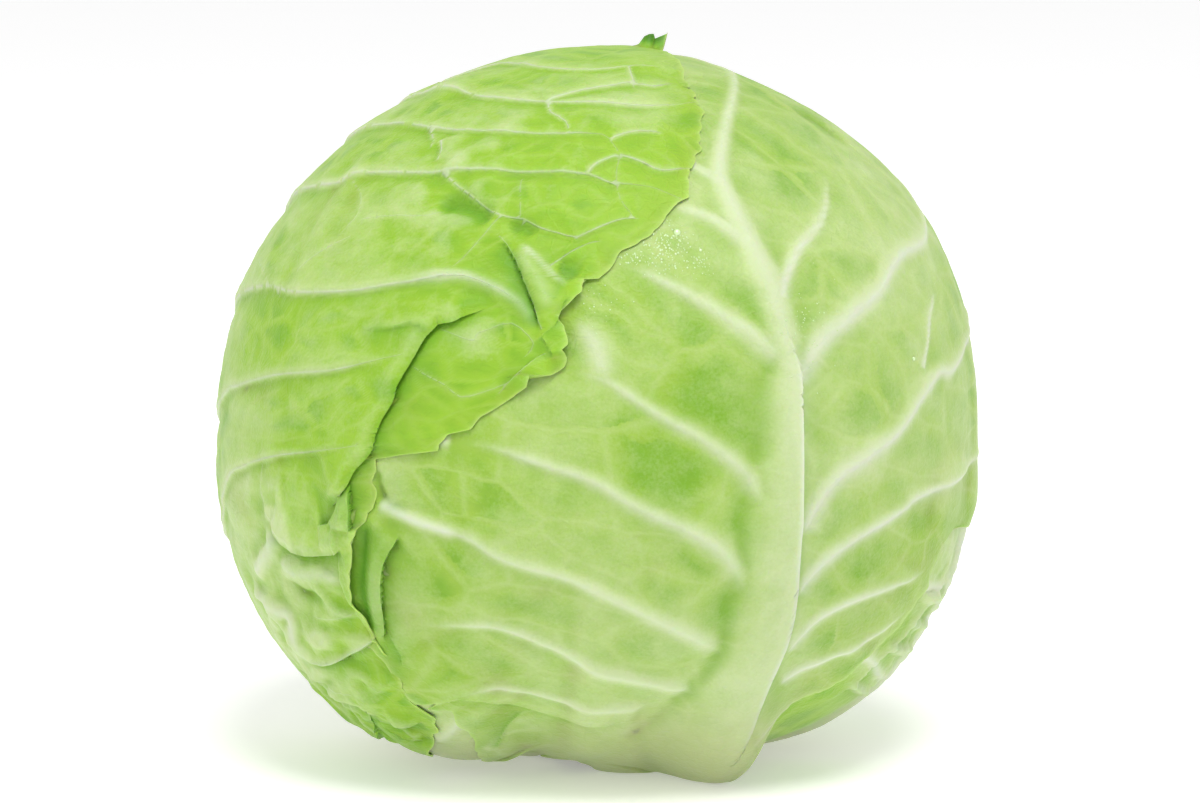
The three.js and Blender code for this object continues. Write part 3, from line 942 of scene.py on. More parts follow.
def left_leaf_lines():
    """The left cover leaf: its side veins sweep across from a midrib on the far left."""
    spine = globes((-100, -75), (-112, -40), (-118, 0), (-118, 40), (-110, 75))
    lines = [
        Line(
            spine, width=((0, 11), (0.2, 7.0), (0.5, 4.0), (1, 1.4)),
            height=((0, 5.0), (0.25, 3.0), (0.6, 1.6), (1, 0.4)), glow=((0, 1), (1, 0.7)),
            glow_width=((0, 14), (0.3, 9), (1, 2.6)), fade=(0, 0.1), power=2.6,
        ),
    ]  # fmt: skip
    cords = (
        (0.7, ((-112, 64), (-96, 70)), ((-42, 86), (-24, 85), (-16, 84), (-7, 83), (0.5, 83),
            (7.5, 83.5), (15.5, 83))),
        (0.85, ((-116, 54), (-99, 61)), ((-37, 78.5), (-26.5, 76.5), (-12.5, 75), (-0.5, 75),
            (15, 74), (25, 75))),
        (0.9, ((-118, 40), (-100, 49)), ((-53, 70), (-42.5, 69.5), (-32.5, 68), (-18, 67), (-8, 67),
            (1, 67), (3.5, 65), (5.5, 62))),
        (1.1, ((-118, 22), (-103, 33)), ((-67, 55), (-59, 57.5), (-49, 58), (-39, 58), (-27, 58),
            (-16, 57.5), (-2.5, 57), (3.5, 55), (13, 54), (22, 50))),
        (1.15, ((-118, 2), (-104, 12)), ((-89, 27), (-81.5, 29.5), (-75, 28), (-62, 28.5),
            (-49, 30.5), (-37, 32), (-31, 31.5), (-24, 28.5), (-20.5, 26))),
        (1.1, ((-117, -18), (-105, -6)), ((-93, 2.5), (-89, 5), (-79.5, 7.5), (-67, 8.5),
            (-58, 10.5), (-48.5, 13))),
        (1.0, ((-114, -38), (-104, -26)), ((-92, -20), (-87.5, -15), (-79.5, -12.5), (-71, -11.5),
            (-62, -10), (-58, -9))),
    )  # fmt: skip
    branches = (
        (0.5, ((7.5, 83.5), (8.5, 81), (9, 79))),
        (0.6, ((-12.5, 75), (-6, 77.5), (2, 79), (9, 80), (14, 79), (18.5, 80))),
        (0.5, ((-12.5, 75), (-11.5, 72), (-8, 70), (-7, 67))),
        (0.55, ((3.5, 66), (10.5, 68), (16, 67))),
        (0.5, ((-42.5, 69.5), (-41, 66), (-42, 64))),
        (0.7, ((-2.5, 57), (0.5, 60), (5.5, 62), (10.5, 60.5), (15.5, 58), (23, 58.5))),
        (0.6, ((-39, 58), (-36, 55.5), (-31, 51.5), (-24.5, 47), (-18.2, 46), (-14.2, 44),
            (-10.2, 42.8), (-5.5, 41.5), (-2.5, 43))),
        (0.6, ((-6, 41), (0.5, 44), (6, 46), (10.5, 46))),
        (0.5, ((-39, 66), (-39, 62.5), (-40, 60))),
    )  # fmt: skip
    threads = (
        (1.0, ((-63.5, 43), (-59.5, 47.5), (-59, 52.5), (-61, 55.5))),
        (1.0, ((-59, 46), (-51, 47), (-41.5, 47), (-38, 49))),
        (1.2, ((-24, 47), (-28, 42.5), (-32, 38), (-36, 34))),
        (1.0, ((-74, 33), (-67, 39), (-61.5, 42))),
        (1.0, ((-79.5, 27), (-82, 32.5), (-84, 36))),
        (1.0, ((-19, 45), (-19, 51), (-19, 56))),
        (1.0, ((5.5, 62), (4.5, 57), (5.5, 51), (9, 46))),
        (1.1, ((-39.5, 19), (-31, 16), (-30, 18), (-27, 19), (-21.5, 20.5), (-16, 15.5),
            (-18, 12))),
        (1.2, ((-47, 10), (-42, 7), (-38, 5), (-34, 2), (-29, 3), (-26, 4), (-21.5, 6))),
        (1.3, ((-70, -52), (-65, -52.5), (-60.5, -51.5))),
        (1.3, ((-84, -15), (-83, -24), (-80, -29))),
        (1.3, ((-74.5, -64), (-67, -67), (-63, -69), (-59.5, -70))),
    )  # fmt: skip
    lines += [cord(globes(*start) + views(*spots), size) for size, start, spots in cords]
    lines += [cord(views(*spots), size) for size, spots in branches]
    lines += [thread(views(*spots), size) for size, spots in threads]
    for k, latitude in enumerate((-46, -27, -8, 12, 31, 49)):
        far = globes((-113 - 0.3 * k, latitude), (-132, latitude + 10), (-152, latitude + 20),
                     (-168, latitude + 26))  # fmt: skip
        lines.append(rib(far, 0.8))
    lines += [
        groove(views((-41, 49), (-36.5, 50.3), (-31, 48.5), (-26, 45.5)), 2.8, 2.2, 1.1,
            (0.25, 0.2)),
        groove(views((-22.5, 43.5), (-18.5, 44.2), (-15.5, 42)), 2.0, 1.3, 0.7, (0.3, 0.3)),
        groove(views((-10.5, 34), (-7, 33.5), (-4.5, 31.5)), 2.4, 1.6, 1.2, (0.3, 0.3)),
        swell(views((-19.5, 40), (-15, 36.5), (-11.5, 32.5), (-7, 29)), 1.3, 0.9, 0.6, 0.9,
            (0.2, 0.2)),
        cord(views((-12, 34), (-8, 37), (-2, 40), (1, 40.5)), 0.5, step=0.6, high="right"),
        fold(views((-24.5, 3), (-20.5, 6.5), (-16.5, 10), (-12.5, 13)), 0.9, 0.4, "right",
            step_reach=3, glow=0.2, crease=0.5, fade=(0.3, 0.2)),
        groove(views((-36, 30), (-30, 28), (-24, 27.5)), 3.5, 0.9, 0.3, (0.4, 0.3)),
        fold(views((-24, 26), (-30, 24), (-34, 23), (-36, 22), (-40, 21.5), (-41.5, 20),
            (-43.5, 18), (-46, 14), (-49, 9), (-51, 5), (-51.5, 2), (-54, -2.5), (-55.5, -7),
            (-56.5, -11), (-60, -14.5), (-63, -20), (-66, -24), (-67.5, -26)), 2.4, 1.5, "right",
            crease=1.7, fade=(0.2, 0.08)),
        fold(views((-41.5, 20), (-46, 21), (-49, 20), (-55, 19.5), (-61, 19)), 0.5, 0.0, "up",
            glow=0.0, fade=(0.1, 0.5)),
        fold(views((-25.5, 42.8), (-22.3, 40), (-19.6, 35.8), (-17.8, 31), (-15.9, 26.3),
            (-14.7, 22.5), (-14, 18.5)), 2.1, 0.5, "left", step_reach=3.5, dip=1.4, glow=0.15,
            crease=1.8, fade=(0.3, 0.12)),
        swell(views((-20.5, 39.5), (-16.5, 34), (-13, 28), (-12.2, 22)), 2.4, 1.1, 0.3, 2.0,
            (0.25, 0.2)),
        swell(views((-52, 30), (-37, 32), (-31, 31.5), (-24, 28.5), (-19.5, 25.5), (-17, 22),
            (-15.5, 19)), 2.0, 1.4, 0.55, 1.4, (0.4, 0.1)),
        fold(views((-8, 27), (-9.5, 23), (-10.5, 20.5), (-14, 17.5)), 0.8, 0.4, "right",
            step_reach=3),
        fold(views((-14, 17.5), (-12, 15), (-10.5, 12)), 0.6, 0.3, "left", step_reach=3),
        fold(views((-63, -20.5), (-62.8, -23), (-63.6, -26), (-66, -29.5), (-69.5, -30)), 1.6, 0.6,
            "left", step_reach=4, dip=1.8, dip_reach=3, crease=1.4),
        fold(views((-81, -29), (-77.5, -33), (-73, -35.5), (-67, -36), (-62, -35)), 1.8, 1.0, "up",
            step_reach=5, dip=1.5, dip_reach=4),
        fold(views((-61.6, -19), (-61.2, -22), (-60.8, -26), (-60.4, -31)), 2.0, 0.7, "right",
            step_reach=4, dip=2.0, dip_reach=5, crease=1.8, fade=(0.1, 0.1)),
        swell(views((-79.5, -30), (-80.5, -35), (-84, -42)), 2.2, 2.0, 0.6, 1.6, (0.2, 0.2)),
        swell(views((-86, -45), (-80, -49), (-75.5, -52), (-73.5, -57), (-70, -61.5)), 1.8, 2.1,
            0.6, 1.4, (0.2, 0.2)),
        swell(views((-79, -38), (-74, -41), (-68, -41.5), (-62, -44)), 2.0, 1.4, 0.4, 1.5,
            (0.2, 0.2)),
        groove(views((-78, -44), (-72, -47), (-66, -48)), 1.8, 1.5, 0.4, (0.3, 0.3)),
        groove(views((-76, -66), (-68, -68), (-62, -66)), 1.8, 1.4, 0.4, (0.3, 0.3)),
        Line(views((-71, -61.5), (-64.5, -62.5), (-58, -59.5), (-54.5, -57)), dip=1.9,
            dip_reach=3.0, step=1.4, step_reach=4, crease=0.7, glow=0.4, glow_width=0.8, crisp=True,
            fade=(0.25, 0.15)),
        fold(views((-71, -68.5), (-65, -70.3), (-60, -72.3), (-56, -73.8), (-53, -76.6),
            (-49.5, -77.8), (-43, -78.6)), 3.2, 0.9, "up", step_reach=5, dip=2.6, dip_reach=5,
            crease=1.8, glow=0.15),
        fold(views((-57, -75), (-55.5, -79), (-55, -84)), 1.2, 0.7, "right", step_reach=4),
        fold(views((-53, -79), (-48, -81.5), (-43, -82.5)), 0.9, 0.6, "up", step_reach=3),
        Line(views((-73, -68), (-68, -74), (-63, -79), (-59, -84)), width=1.8, height=1.0,
            fade=(0.2, 0.3)),
    ]  # fmt: skip
    return lines


GOLDEN_ANGLE = 137.5  # between one leaf and the next round the stem
FRONT_LONGITUDE = 31


def round_outline(turn, size, sway):
    """A whole wrapper leaf: a narrow foot, broad shoulders and a round end past the crown."""
    middle = globe(FRONT_LONGITUDE + GOLDEN_ANGLE * turn, 6)
    margin = (
        (-180, 82),
        (-160, 76),
        (-138, 73 * size),
        (-105, 77 * size),
        (-70, 80 * size),
        (-35, 90 * size - sway),
        (0, 99 * size),
        (35, 90 * size + sway),
        (70, 80 * size),
        (105, 77 * size),
        (138, 73 * size),
        (160, 76),
    )  # fmt: skip
    return Outline(middle, reaches=margin)


def front_outline():
    return Outline(
        globe(28, 2),
        globes((20, -75))
        + views((-20, -84), (-36, -77), (-49, -66), (-62, -45), (-66, -17))
        + globes((-54, 22), (-62, 58), (-140, 78), (150, 66), (118, 45), (110, 12), (100, -14))
        + views((84, -38), (64, -64), (42, -79)),
        margins=[views(*arc) for arc in FRONT_MARGINS],
    )


def left_outline():
    return Outline(
        globe(-100, 4),
        views(
            (17, 88), (26, 72), (22, 54), (10, 41), (-4, 29), (-9, 12), (-34, -7), (-56, -15),
            (-59, -39), (-52, -60), (-41, -79),
        )
        + globes(
            (-75, -73), (-105, -75), (-140, -68), (-165, -40), (180, -5), (178, 30), (165, 62)
        ),
        margins=[views(*arc) for arc in LEFT_MARGINS],
    )  # fmt: skip


def strip_settings():
    """Lines, crumples and tones of the right under leaf, where it shows past the front leaf; one
    tone spot is painted shade under the front leaf's margin.
    """
    teeth = (
        (2.6, (80, -47.5), (84, -46.5), (89, -45)),
        (1.6, (77, -54), (80.5, -54), (84, -53.5)),
        (2.2, (71, -59.5), (75, -60.5), (79, -61)),
        (2.4, (62, -68.5), (66, -71), (69, -73.5)),
    )  # fmt: skip
    lines = [
        Line(views(*spots), width=1.3, height=height, glow=0.35, glow_width=0.9, fade=(0.3, 0.1))
        for height, *spots in teeth
    ]
    lines.append(
        Line(views((88, -38), (85, -44), (81, -50), (76, -57), (70, -63), (63, -70), (55, -75.5)),
            width=1.7, height=0.7, step=1.1, step_reach=3, dip=1.0, dip_reach=3, soft=1.3,
            crease=0.8, glow=0.15, glow_width=1.3, high="up", fade=(0.25, 0.25))
    )  # fmt: skip
    crumples = ((seen(88, -45), 8, 2.0, 9), (seen(74, -64), 8, 2.0, 9))
    # The last spot is painted shade under the front leaf's lower margin.
    tones = ((seen(89, -44), 8, -0.15), (seen(74, -64), 9, -0.3), (seen(52, -80), 10, -0.7))
    return {"lines": lines, "crumples": crumples, "tones": tones}


def all_leaves():
    """Every leaf, from the innermost to the outermost."""
    under = (
        ("left_inner_leaf", 7, 0.93, 4, 84),
        ("back_right_inner_leaf", 6, 0.96, -5, 84),
        ("front_inner_leaf", 5, 0.95, 5, 84),
        ("back_left_under_leaf", 4, 0.99, 3, 120),
        ("right_under_leaf", 3, 1.0, -4, 200),
        ("front_left_under_leaf", 2, 0.98, -3, 150),
        ("back_cover_leaf", 1, 1.03, 4, 240),
    )
    leaves = []
    for name, turn, size, sway, cells in under:
        outline = round_outline(turn, size, sway)
        lines = grown_lines(outline, 40 + turn, sway, size=1.0 if turn == 1 else 0.8)
        extra = strip_settings() if name == "right_under_leaf" else {}
        extra["lines"] = lines + extra.get("lines", [])
        leaves.append(Leaf(name, outline, cells, seed=20 + turn, wave=0.5, **extra))
    leaves.append(
        Leaf("front_cover_leaf", front_outline(), 300, turn=60, lines=front_leaf_lines(), seed=3,
            net_size=15, net_stretch=(0.62, 1, 1.25), net_slope=-22, net_height=0.1, wave=0.8,
            scallop=1.2, ruffle=0.9, crumples=((seen(86, -42), 7, 1.2, 9), (seen(-25, -82), 10, 0.7,
            14)), tones=((seen(5, -5), 26, -0.16), (seen(72, 45), 16, 0.3), (seen(-25, -62), 16,
            0.3), (seen(-52, -17), 3.5, 0.6), (seen(-49, -50), 5, 0.5), (seen(74, -45), 11, 0.25),
            (seen(38, 34), 8, 0.12)))
    )  # fmt: skip
    lifts = (
        (seen(12.4, 90), 6.0, 1.3),
        (seen(17.0, 89.4), 4.6, 0.9),
        (seen(21.2, 87.4), 4.6, 1.0),
        (seen(-17, 9), 1.9, 3.0),
        (seen(-10, 16), 1.8, 2.6),
        (seen(-6, 27), 1.5, 2.2),
        (seen(-59.5, -41), 1.9, 6.5),
        (seen(-40, -84), 0.6, 2.5),
    )  # fmt: skip
    crumples = ((seen(-70, -58), 15, 3.0, 17), (seen(-52, -80), 9, 2.2, 8),
                (seen(-78, -34), 10, 1.5, 14), (seen(-28, 55), 15, 1.2, 15))  # fmt: skip
    leaves.append(
        Leaf("left_cover_leaf", left_outline(), 300, turn=-25, lean=(0.18, -0.18),
            lines=left_leaf_lines(), seed=5, net_size=8, net_stretch=(1, 1, 1.7), net_height=0.16,
            wave=1.0, wrinkle=0.25, lifts=lifts, scallop=2.4, ruffle=0.3, crumples=crumples,
            # Of these tone spots, (-29, 17) is a painted highlight on the flap, (-66, -75) and
            # (-55, -81) are painted shade under the bottom overhang, and (-73, -62) is a painted
            # highlight on the ridge above it.
            tones=((seen(8, 80), 15, 0.4), (seen(-75, -42), 20, 0.45), (seen(-20, 50), 15, -0.45),
            (seen(-52, 62), 14, -0.15), (seen(-30, 12), 12, -0.25), (seen(-29, 17), 4.5, 1.0),
            (seen(-84, 18), 9, -0.35), (seen(11, 73), 6, 0.45), (seen(-66, -75), 5, -0.7),
            (seen(-55, -81), 5, -0.7), (seen(-73, -62), 4, 0.3)))
    )  # fmt: skip
    return leaves


# ---- Finishes -----------------------------------------------------------------------------------


class Value:
    """A number socket that adds Math nodes as it is used in sums."""

    def __init__(self, finish, socket):
        self.finish, self.socket = finish, socket

    def sum(self, operation, *terms):
        node = self.finish.node("Math", {"operation": operation}, dict(enumerate(terms)))
        return Value(self.finish, node.outputs[0])

    def __add__(self, other):
        return self.sum("ADD", self, other)

    def __sub__(self, other):
        return self.sum("SUBTRACT", self, other)

    def __rsub__(self, other):
        return self.sum("SUBTRACT", other, self)

    def __mul__(self, other):
        return self.sum("MULTIPLY", self, other)

    def __truediv__(self, other):
        return self.sum("DIVIDE", self, other)

    def __pow__(self, other):
        return self.sum("POWER", self, other)

    __radd__, __rmul__ = __add__, __mul__

    def within(self, low, high):
        """0 below low, 1 above high and smooth between."""
        settings = {"interpolation_type": "SMOOTHSTEP"}
        sockets = {0: self, 1: low, 2: high, 3: 0.0, 4: 1.0}
        return Value(self.finish, self.finish.node("MapRange", settings, sockets).outputs[0])

    def fading(self, length):
        """1 at nought, dying away over a length."""
        return self.sum("EXPONENT", self * (-1.0 / length))


class Finish:
    """A material's nodes, made by one method."""

    def __init__(self, name, constants):
        self.material = bpy.data.materials.new(name)
        self.material.use_nodes = True
        self.tree = self.material.node_tree
        self.shader = self.tree.nodes["Principled BSDF"]
        for socket, value in constants.items():
            self.shader.inputs[socket].default_value = value
        self.place = self.node("TexCoord").outputs["Object"]

    def node(self, kind, settings=None, sockets=None):
        node = self.tree.nodes.new("ShaderNode" + kind)
        for name, value in (settings or {}).items():
            setattr(node, name, value)
        for name, value in (sockets or {}).items():
            if isinstance(value, Value):
                value = value.socket
            if isinstance(value, bpy.types.NodeSocket):
                self.tree.links.new(value, node.inputs[name])
            else:
                node.inputs[name].default_value = value
        return node

    def attribute(self, name):
        return Value(self, self.node("Attribute", {"attribute_name": name}).outputs["Fac"])

    def stretched(self, scale):
        return self.node("Mapping", {}, {"Vector": self.place, "Scale": scale}).outputs[0]

    def noise(self, size, detail=2.0, roughness=0.5, place=None, warp=0.0):
        """Cloudy variation, from 0 to 1, of bumps about size mm across."""
        sockets = {
            "Vector": place or self.place, "Scale": 1 / (size * MM), "Detail": detail,
            "Roughness": roughness, "Distortion": warp,
        }  # fmt: skip
        return Value(self, self.node("TexNoise", {}, sockets).outputs[0])

    def cells(self, size):
        """Distance to the edge of the nearest of some cells about size mm across."""
        sockets = {"Vector": self.place, "Scale": 1 / (size * MM)}
        node = self.node("TexVoronoi", {"feature": "DISTANCE_TO_EDGE"}, sockets)
        return Value(self, node.outputs["Distance"])

    def mix(self, share, low, high):
        settings = {"data_type": "RGBA", "blend_type": "MIX", "clamp_factor": True}
        return self.node("Mix", settings, {0: share, 6: low, 7: high}).outputs[2]

    def bump(self, height, distance, strength):
        sockets = {"Height": height, "Distance": distance * MM, "Strength": strength}
        return self.node("Bump", {}, sockets).outputs[0]

    def finished(self, **sockets):
        names = {"color": "Base Color", "roughness": "Roughness", "normal": "Normal"}
        for name, value in sockets.items():
            value = value.socket if isinstance(value, Value) else value
            self.tree.links.new(value, self.shader.inputs[names[name]])
        return self.material


def rgba(color):
    return (*color, 1.0)


def leaf_finish(name, looks, paleness, netting=0.14, greens=("leaf", "deep"), streak=(1, 1, 3.5)):
    """Waxy leaf: green panels, paler by the veins and the foot, with pale veins and margins;
    painted shade beside folds and in dips, and painted highlight on raised places, crumple ridges,
    some ridges and tone spots, and on the shaded margin edges.
    """
    leaf, deep = (getattr(looks, green) for green in greens)
    finish = Finish(
        name,
        {
            "Subsurface Weight": looks.translucency,
            "Subsurface Radius": (0.5, 1.0, 0.15),
            "Subsurface Scale": 2.5 * MM,
            "Sheen Weight": looks.bloom,
            "Sheen Roughness": 0.45,
            "Sheen Tint": rgba((0.9, 1.0, 0.85)),
            "Specular IOR Level": 0.24,
        },
    )
    vein, halo, crease, rim, foot, fine_net, spacing, cell, thin, rise, tone = map(
        finish.attribute,
        ("vein", "halo", "crease", "rim", "foot", "net", "spacing", "cell", "thin", "rise", "tone"),
    )
    line = (thin * thin).fading(1.0)
    near_line = thin.fading(3.0)
    clouds = finish.noise(30, 3.0, 0.55, warp=0.5).within(0.36, 0.66)
    islands = cell.within(0.2, looks.island / MM) * (0.3 + 0.7 * clouds)
    mottle = finish.noise(6, 4.0, 0.62)
    frost = finish.noise(15, 6.0, 0.62, warp=0.3).within(0.42, 0.78)
    streaks = finish.noise(5, 4.0, 0.6, place=finish.stretched(streak))
    grain = finish.noise(0.8, 2.0, 0.6)
    patches = islands * (0.25 + 0.75 * spacing.within(1.0, 7.0)) + (streaks - 0.5) * 0.6
    green = finish.mix(patches, rgba(leaf), rgba(deep))
    # The paleness is partly the leaf's own colour and partly painted light: rise paints raised
    # places paler, the halo paints highlights on crumple ridges and the tone paints some highlights
    # and shade.
    pale = foot * 0.5 + halo * 0.95 + (mottle - 0.5) * 0.5 + (paleness - 0.3 * clouds) + tone
    pale = pale + (rim.within(8, 60) - 0.45) * 0.5
    pale = pale + frost * 0.28 + rise * 0.4 + (grain - 0.5) * 0.45
    color = green
    for amount, tint in (
        (pale, looks.pale),
        # Painted shade: dips are painted deeper green.
        (rise * -0.6, deep),
        (fine_net * netting, looks.pale),
        (near_line * 0.3, looks.pale),
        (vein * (0.6 + 0.5 * mottle), looks.vein),
        (line * (0.1 + 0.5 * mottle), looks.vein),
        (foot.within(0.5, 1.0) * 0.75 * tone.within(-0.8, 0), looks.stalk),
        # Painted shade beside folds and grooves. Where it runs deepest, in the deepest folds and on
        # the crown's raised curls, it turns to the darker shade green.
        (crease * 0.75, looks.crease),
        (crease.within(1.0, 2.2), looks.shade),
        # Painted light on the margins: the thin edge's own paler green, made bright enough to lift
        # the shade on its edge wall.
        (rim.fading(0.7) * 0.6, looks.margin),
    ):
        color = finish.mix(amount, color, rgba(tint))
    small_net = finish.cells(3.2).within(0.0, 0.12)
    height = line * 1.2 + grain * 0.5 + (1 - small_net) * 0.3 * (1 - vein) + mottle * 0.9
    height = height + streaks * 1.6 + finish.noise(2.2, 3.0, 0.6) * 0.8
    roughness = 0.38 + 0.16 * mottle + 0.1 * vein + 0.08 * grain
    return finish.finished(color=color, roughness=roughness, normal=finish.bump(height, 0.2, 0.8))


def stem_finish(looks):
    """Cut stump: cream flesh browned at the cut, darker in its rind, with dry leaf scars."""
    finish = Finish("stem_flesh", {"Subsurface Weight": 0.08, "Subsurface Scale": 3 * MM})
    ring, height_mm = finish.attribute("ring"), finish.attribute("height")
    fibres = finish.noise(1.4, 4.0, 0.65, place=finish.stretched((1, 1, 0.25)))
    stains = finish.noise(7, 4.0, 0.6, warp=0.6)
    cut = height_mm.fading(2.5)
    color = finish.mix(stains.within(0.3, 0.75), rgba(looks.flesh), rgba(looks.browned))
    color = finish.mix(cut * (0.35 + 0.5 * ring.within(0.55, 0.95)), color, rgba(looks.browned))
    color = finish.mix(fibres.within(0.55, 0.8) * 0.4, color, rgba(looks.rind))
    bumps = finish.bump(fibres, 0.35, 0.8)
    return finish.finished(color=color, roughness=0.6 + 0.25 * fibres, normal=bumps)


def dew_finish():
    """Fine condensation: as pale as the leaf under it, and glossy."""
    finish = Finish("dew", {"Roughness": 0.06, "Specular IOR Level": 0.9, "Coat Weight": 0.6})
    tint = finish.mix(finish.noise(4), rgba((0.46, 0.64, 0.26)), rgba((0.60, 0.76, 0.42)))
    return finish.finished(color=tint)


def floor_finish(looks):
    light_box = {"Emission Color": rgba((1, 1, 1)), "Emission Strength": looks.lift}
    finish = Finish("pale_floor", {"Specular IOR Level": 0.15, **light_box})
    paper = finish.noise(2.0, 2.0)
    tone = looks.floor
    color = finish.mix(paper, rgba(tone), rgba([value * 0.985 for value in tone]))
    return finish.finished(color=color, roughness=0.8 + 0.1 * paper)


def dress(piece, material, nodes):
    """Gives a finished piece its material and its place in the frame."""
    piece.data.materials.clear()
    piece.data.materials.append(material)
    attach(piece, BODY)
    if nodes:
        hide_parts(*nodes)


# ---- Settings -----------------------------------------------------------------------------------

def length(name, description, default):
    return bpy.props.FloatProperty(
        name=name, description=description, default=default * MM, unit="LENGTH", subtype="DISTANCE"
    )


def share(name, description, default):
    return bpy.props.FloatProperty(
        name=name, description=description, default=default, min=0, max=10, subtype="FACTOR"
    )


def paint(name, description, default):
    return bpy.props.FloatVectorProperty(
        name=name, description=description, default=default, size=3, min=0, max=1, subtype="COLOR"
    )


class CABBAGE_PG_sizes(bpy.types.PropertyGroup):
    """Sizes of the leaves and the stem."""

    thickness: length("Leaf thickness", "Thickness of a leaf away from its margin", 0.9)
    gap: length("Leaf gap", "Least space between a leaf and the one below it", 0.25)
    pitch: length("Leaf pitch", "Depth that each covering leaf takes up", 2.2)
    vein_height: share("Vein height", "Height of the veins, against their natural height", 1.0)
    stem_radius: length("Stem radius", "Radius of the stem at its cut face", 17.0)
    stem_flare: length("Stem flare", "Widening of the stem up to its leaves", 1.5)
    stem_height: length("Stem height", "From the cut face to the inner head", 17.0)


class CABBAGE_PG_looks(bpy.types.PropertyGroup):
    """Colours of the leaves, the stem and the floor, and the light."""

    leaf: paint("Leaf green", "Most of a leaf", (0.25, 0.44, 0.015))
    # The deep greens also paint shade into the leaf's dips.
    deep: paint("Deep green", "Greener patches between the veins", (0.155, 0.345, 0.003))
    front_leaf: paint("Front leaf green", "Most of the front cover leaf", (0.27, 0.43, 0.045))
    front_deep: paint("Front deep green", "Greener patches of the front leaf", (0.16, 0.34, 0.010))
    # The pale green also paints highlights on raised places, crumple ridges and some tone spots.
    pale: paint("Pale green", "Beside the veins and by the foot", (0.46, 0.56, 0.26))
    stalk: paint("Stalk", "The midrib's foot", (0.37, 0.41, 0.19))
    # The vein colour also paints highlights along the midrib's right ridge and some rib tops.
    vein: paint("Vein", "Main veins and ribs", (0.60, 0.62, 0.54))
    # Painted shade: the dark green painted beside folds, creases and grooves.
    crease: paint("Crease", "Beside folds", (0.11, 0.30, 0.012))
    shade: paint("Shade", "Deep in folds and on the crown's curls", (0.05, 0.17, 0.005))
    # The margin green is partly the thin edge's own paler green and partly painted light that
    # brightens edge walls lying in shade.
    margin: paint("Margin", "The thin edge of a leaf", (0.46, 0.64, 0.19))
    flesh: paint("Stem flesh", "Inside of the stem", (0.55, 0.50, 0.22))
    browned: paint("Browned stem", "The dried cut", (0.26, 0.19, 0.03))
    rind: paint("Stem rind", "The stem's darker fibres", (0.33, 0.28, 0.08))
    island: length("Green island", "Depth over which a panel turns deep green", 5.5)
    floor: paint("Floor", "The pale floor", (0.9, 0.9, 0.9))
    lift: share("Floor glow", "Light that the floor itself gives, as a light table does", 0.3)
    translucency: share("Translucency", "How much light passes under the leaf's skin", 0.45)
    bloom: share("Bloom", "Waxy bloom that shows at grazing angles", 0.12)
    sky: bpy.props.FloatProperty(
        name="Sky", description="Strength of the light from all round", default=0.72, min=0
    )
    key: bpy.props.FloatProperty(
        name="Key light", description="Power of the soft key light", default=26.0, unit="POWER"
    )


class Sizes:
    """The sizes in millimetres."""

    def __init__(self, group):
        for name in ("thickness", "gap", "pitch", "stem_radius", "stem_flare", "stem_height"):
            setattr(self, name, getattr(group, name) / MM)
        self.vein_height = group.vein_height


# ---- Operators ----------------------------------------------------------------------------------


def select_upright_edges(mesh, least):
    """Selects the edges that rise by more than a least height, and no others."""
    for edge in mesh.edges:
        a, b = (mesh.vertices[k].co for k in edge.vertices)
        edge.select = abs(a.z - b.z) > least


STEM_SIDES, STEM_RINGS, STEM_LEVELS = 96, 9, 16  # cells round it, rings across, cuts up the side
SCARS = 9  # where older leaves were, from the cut upwards


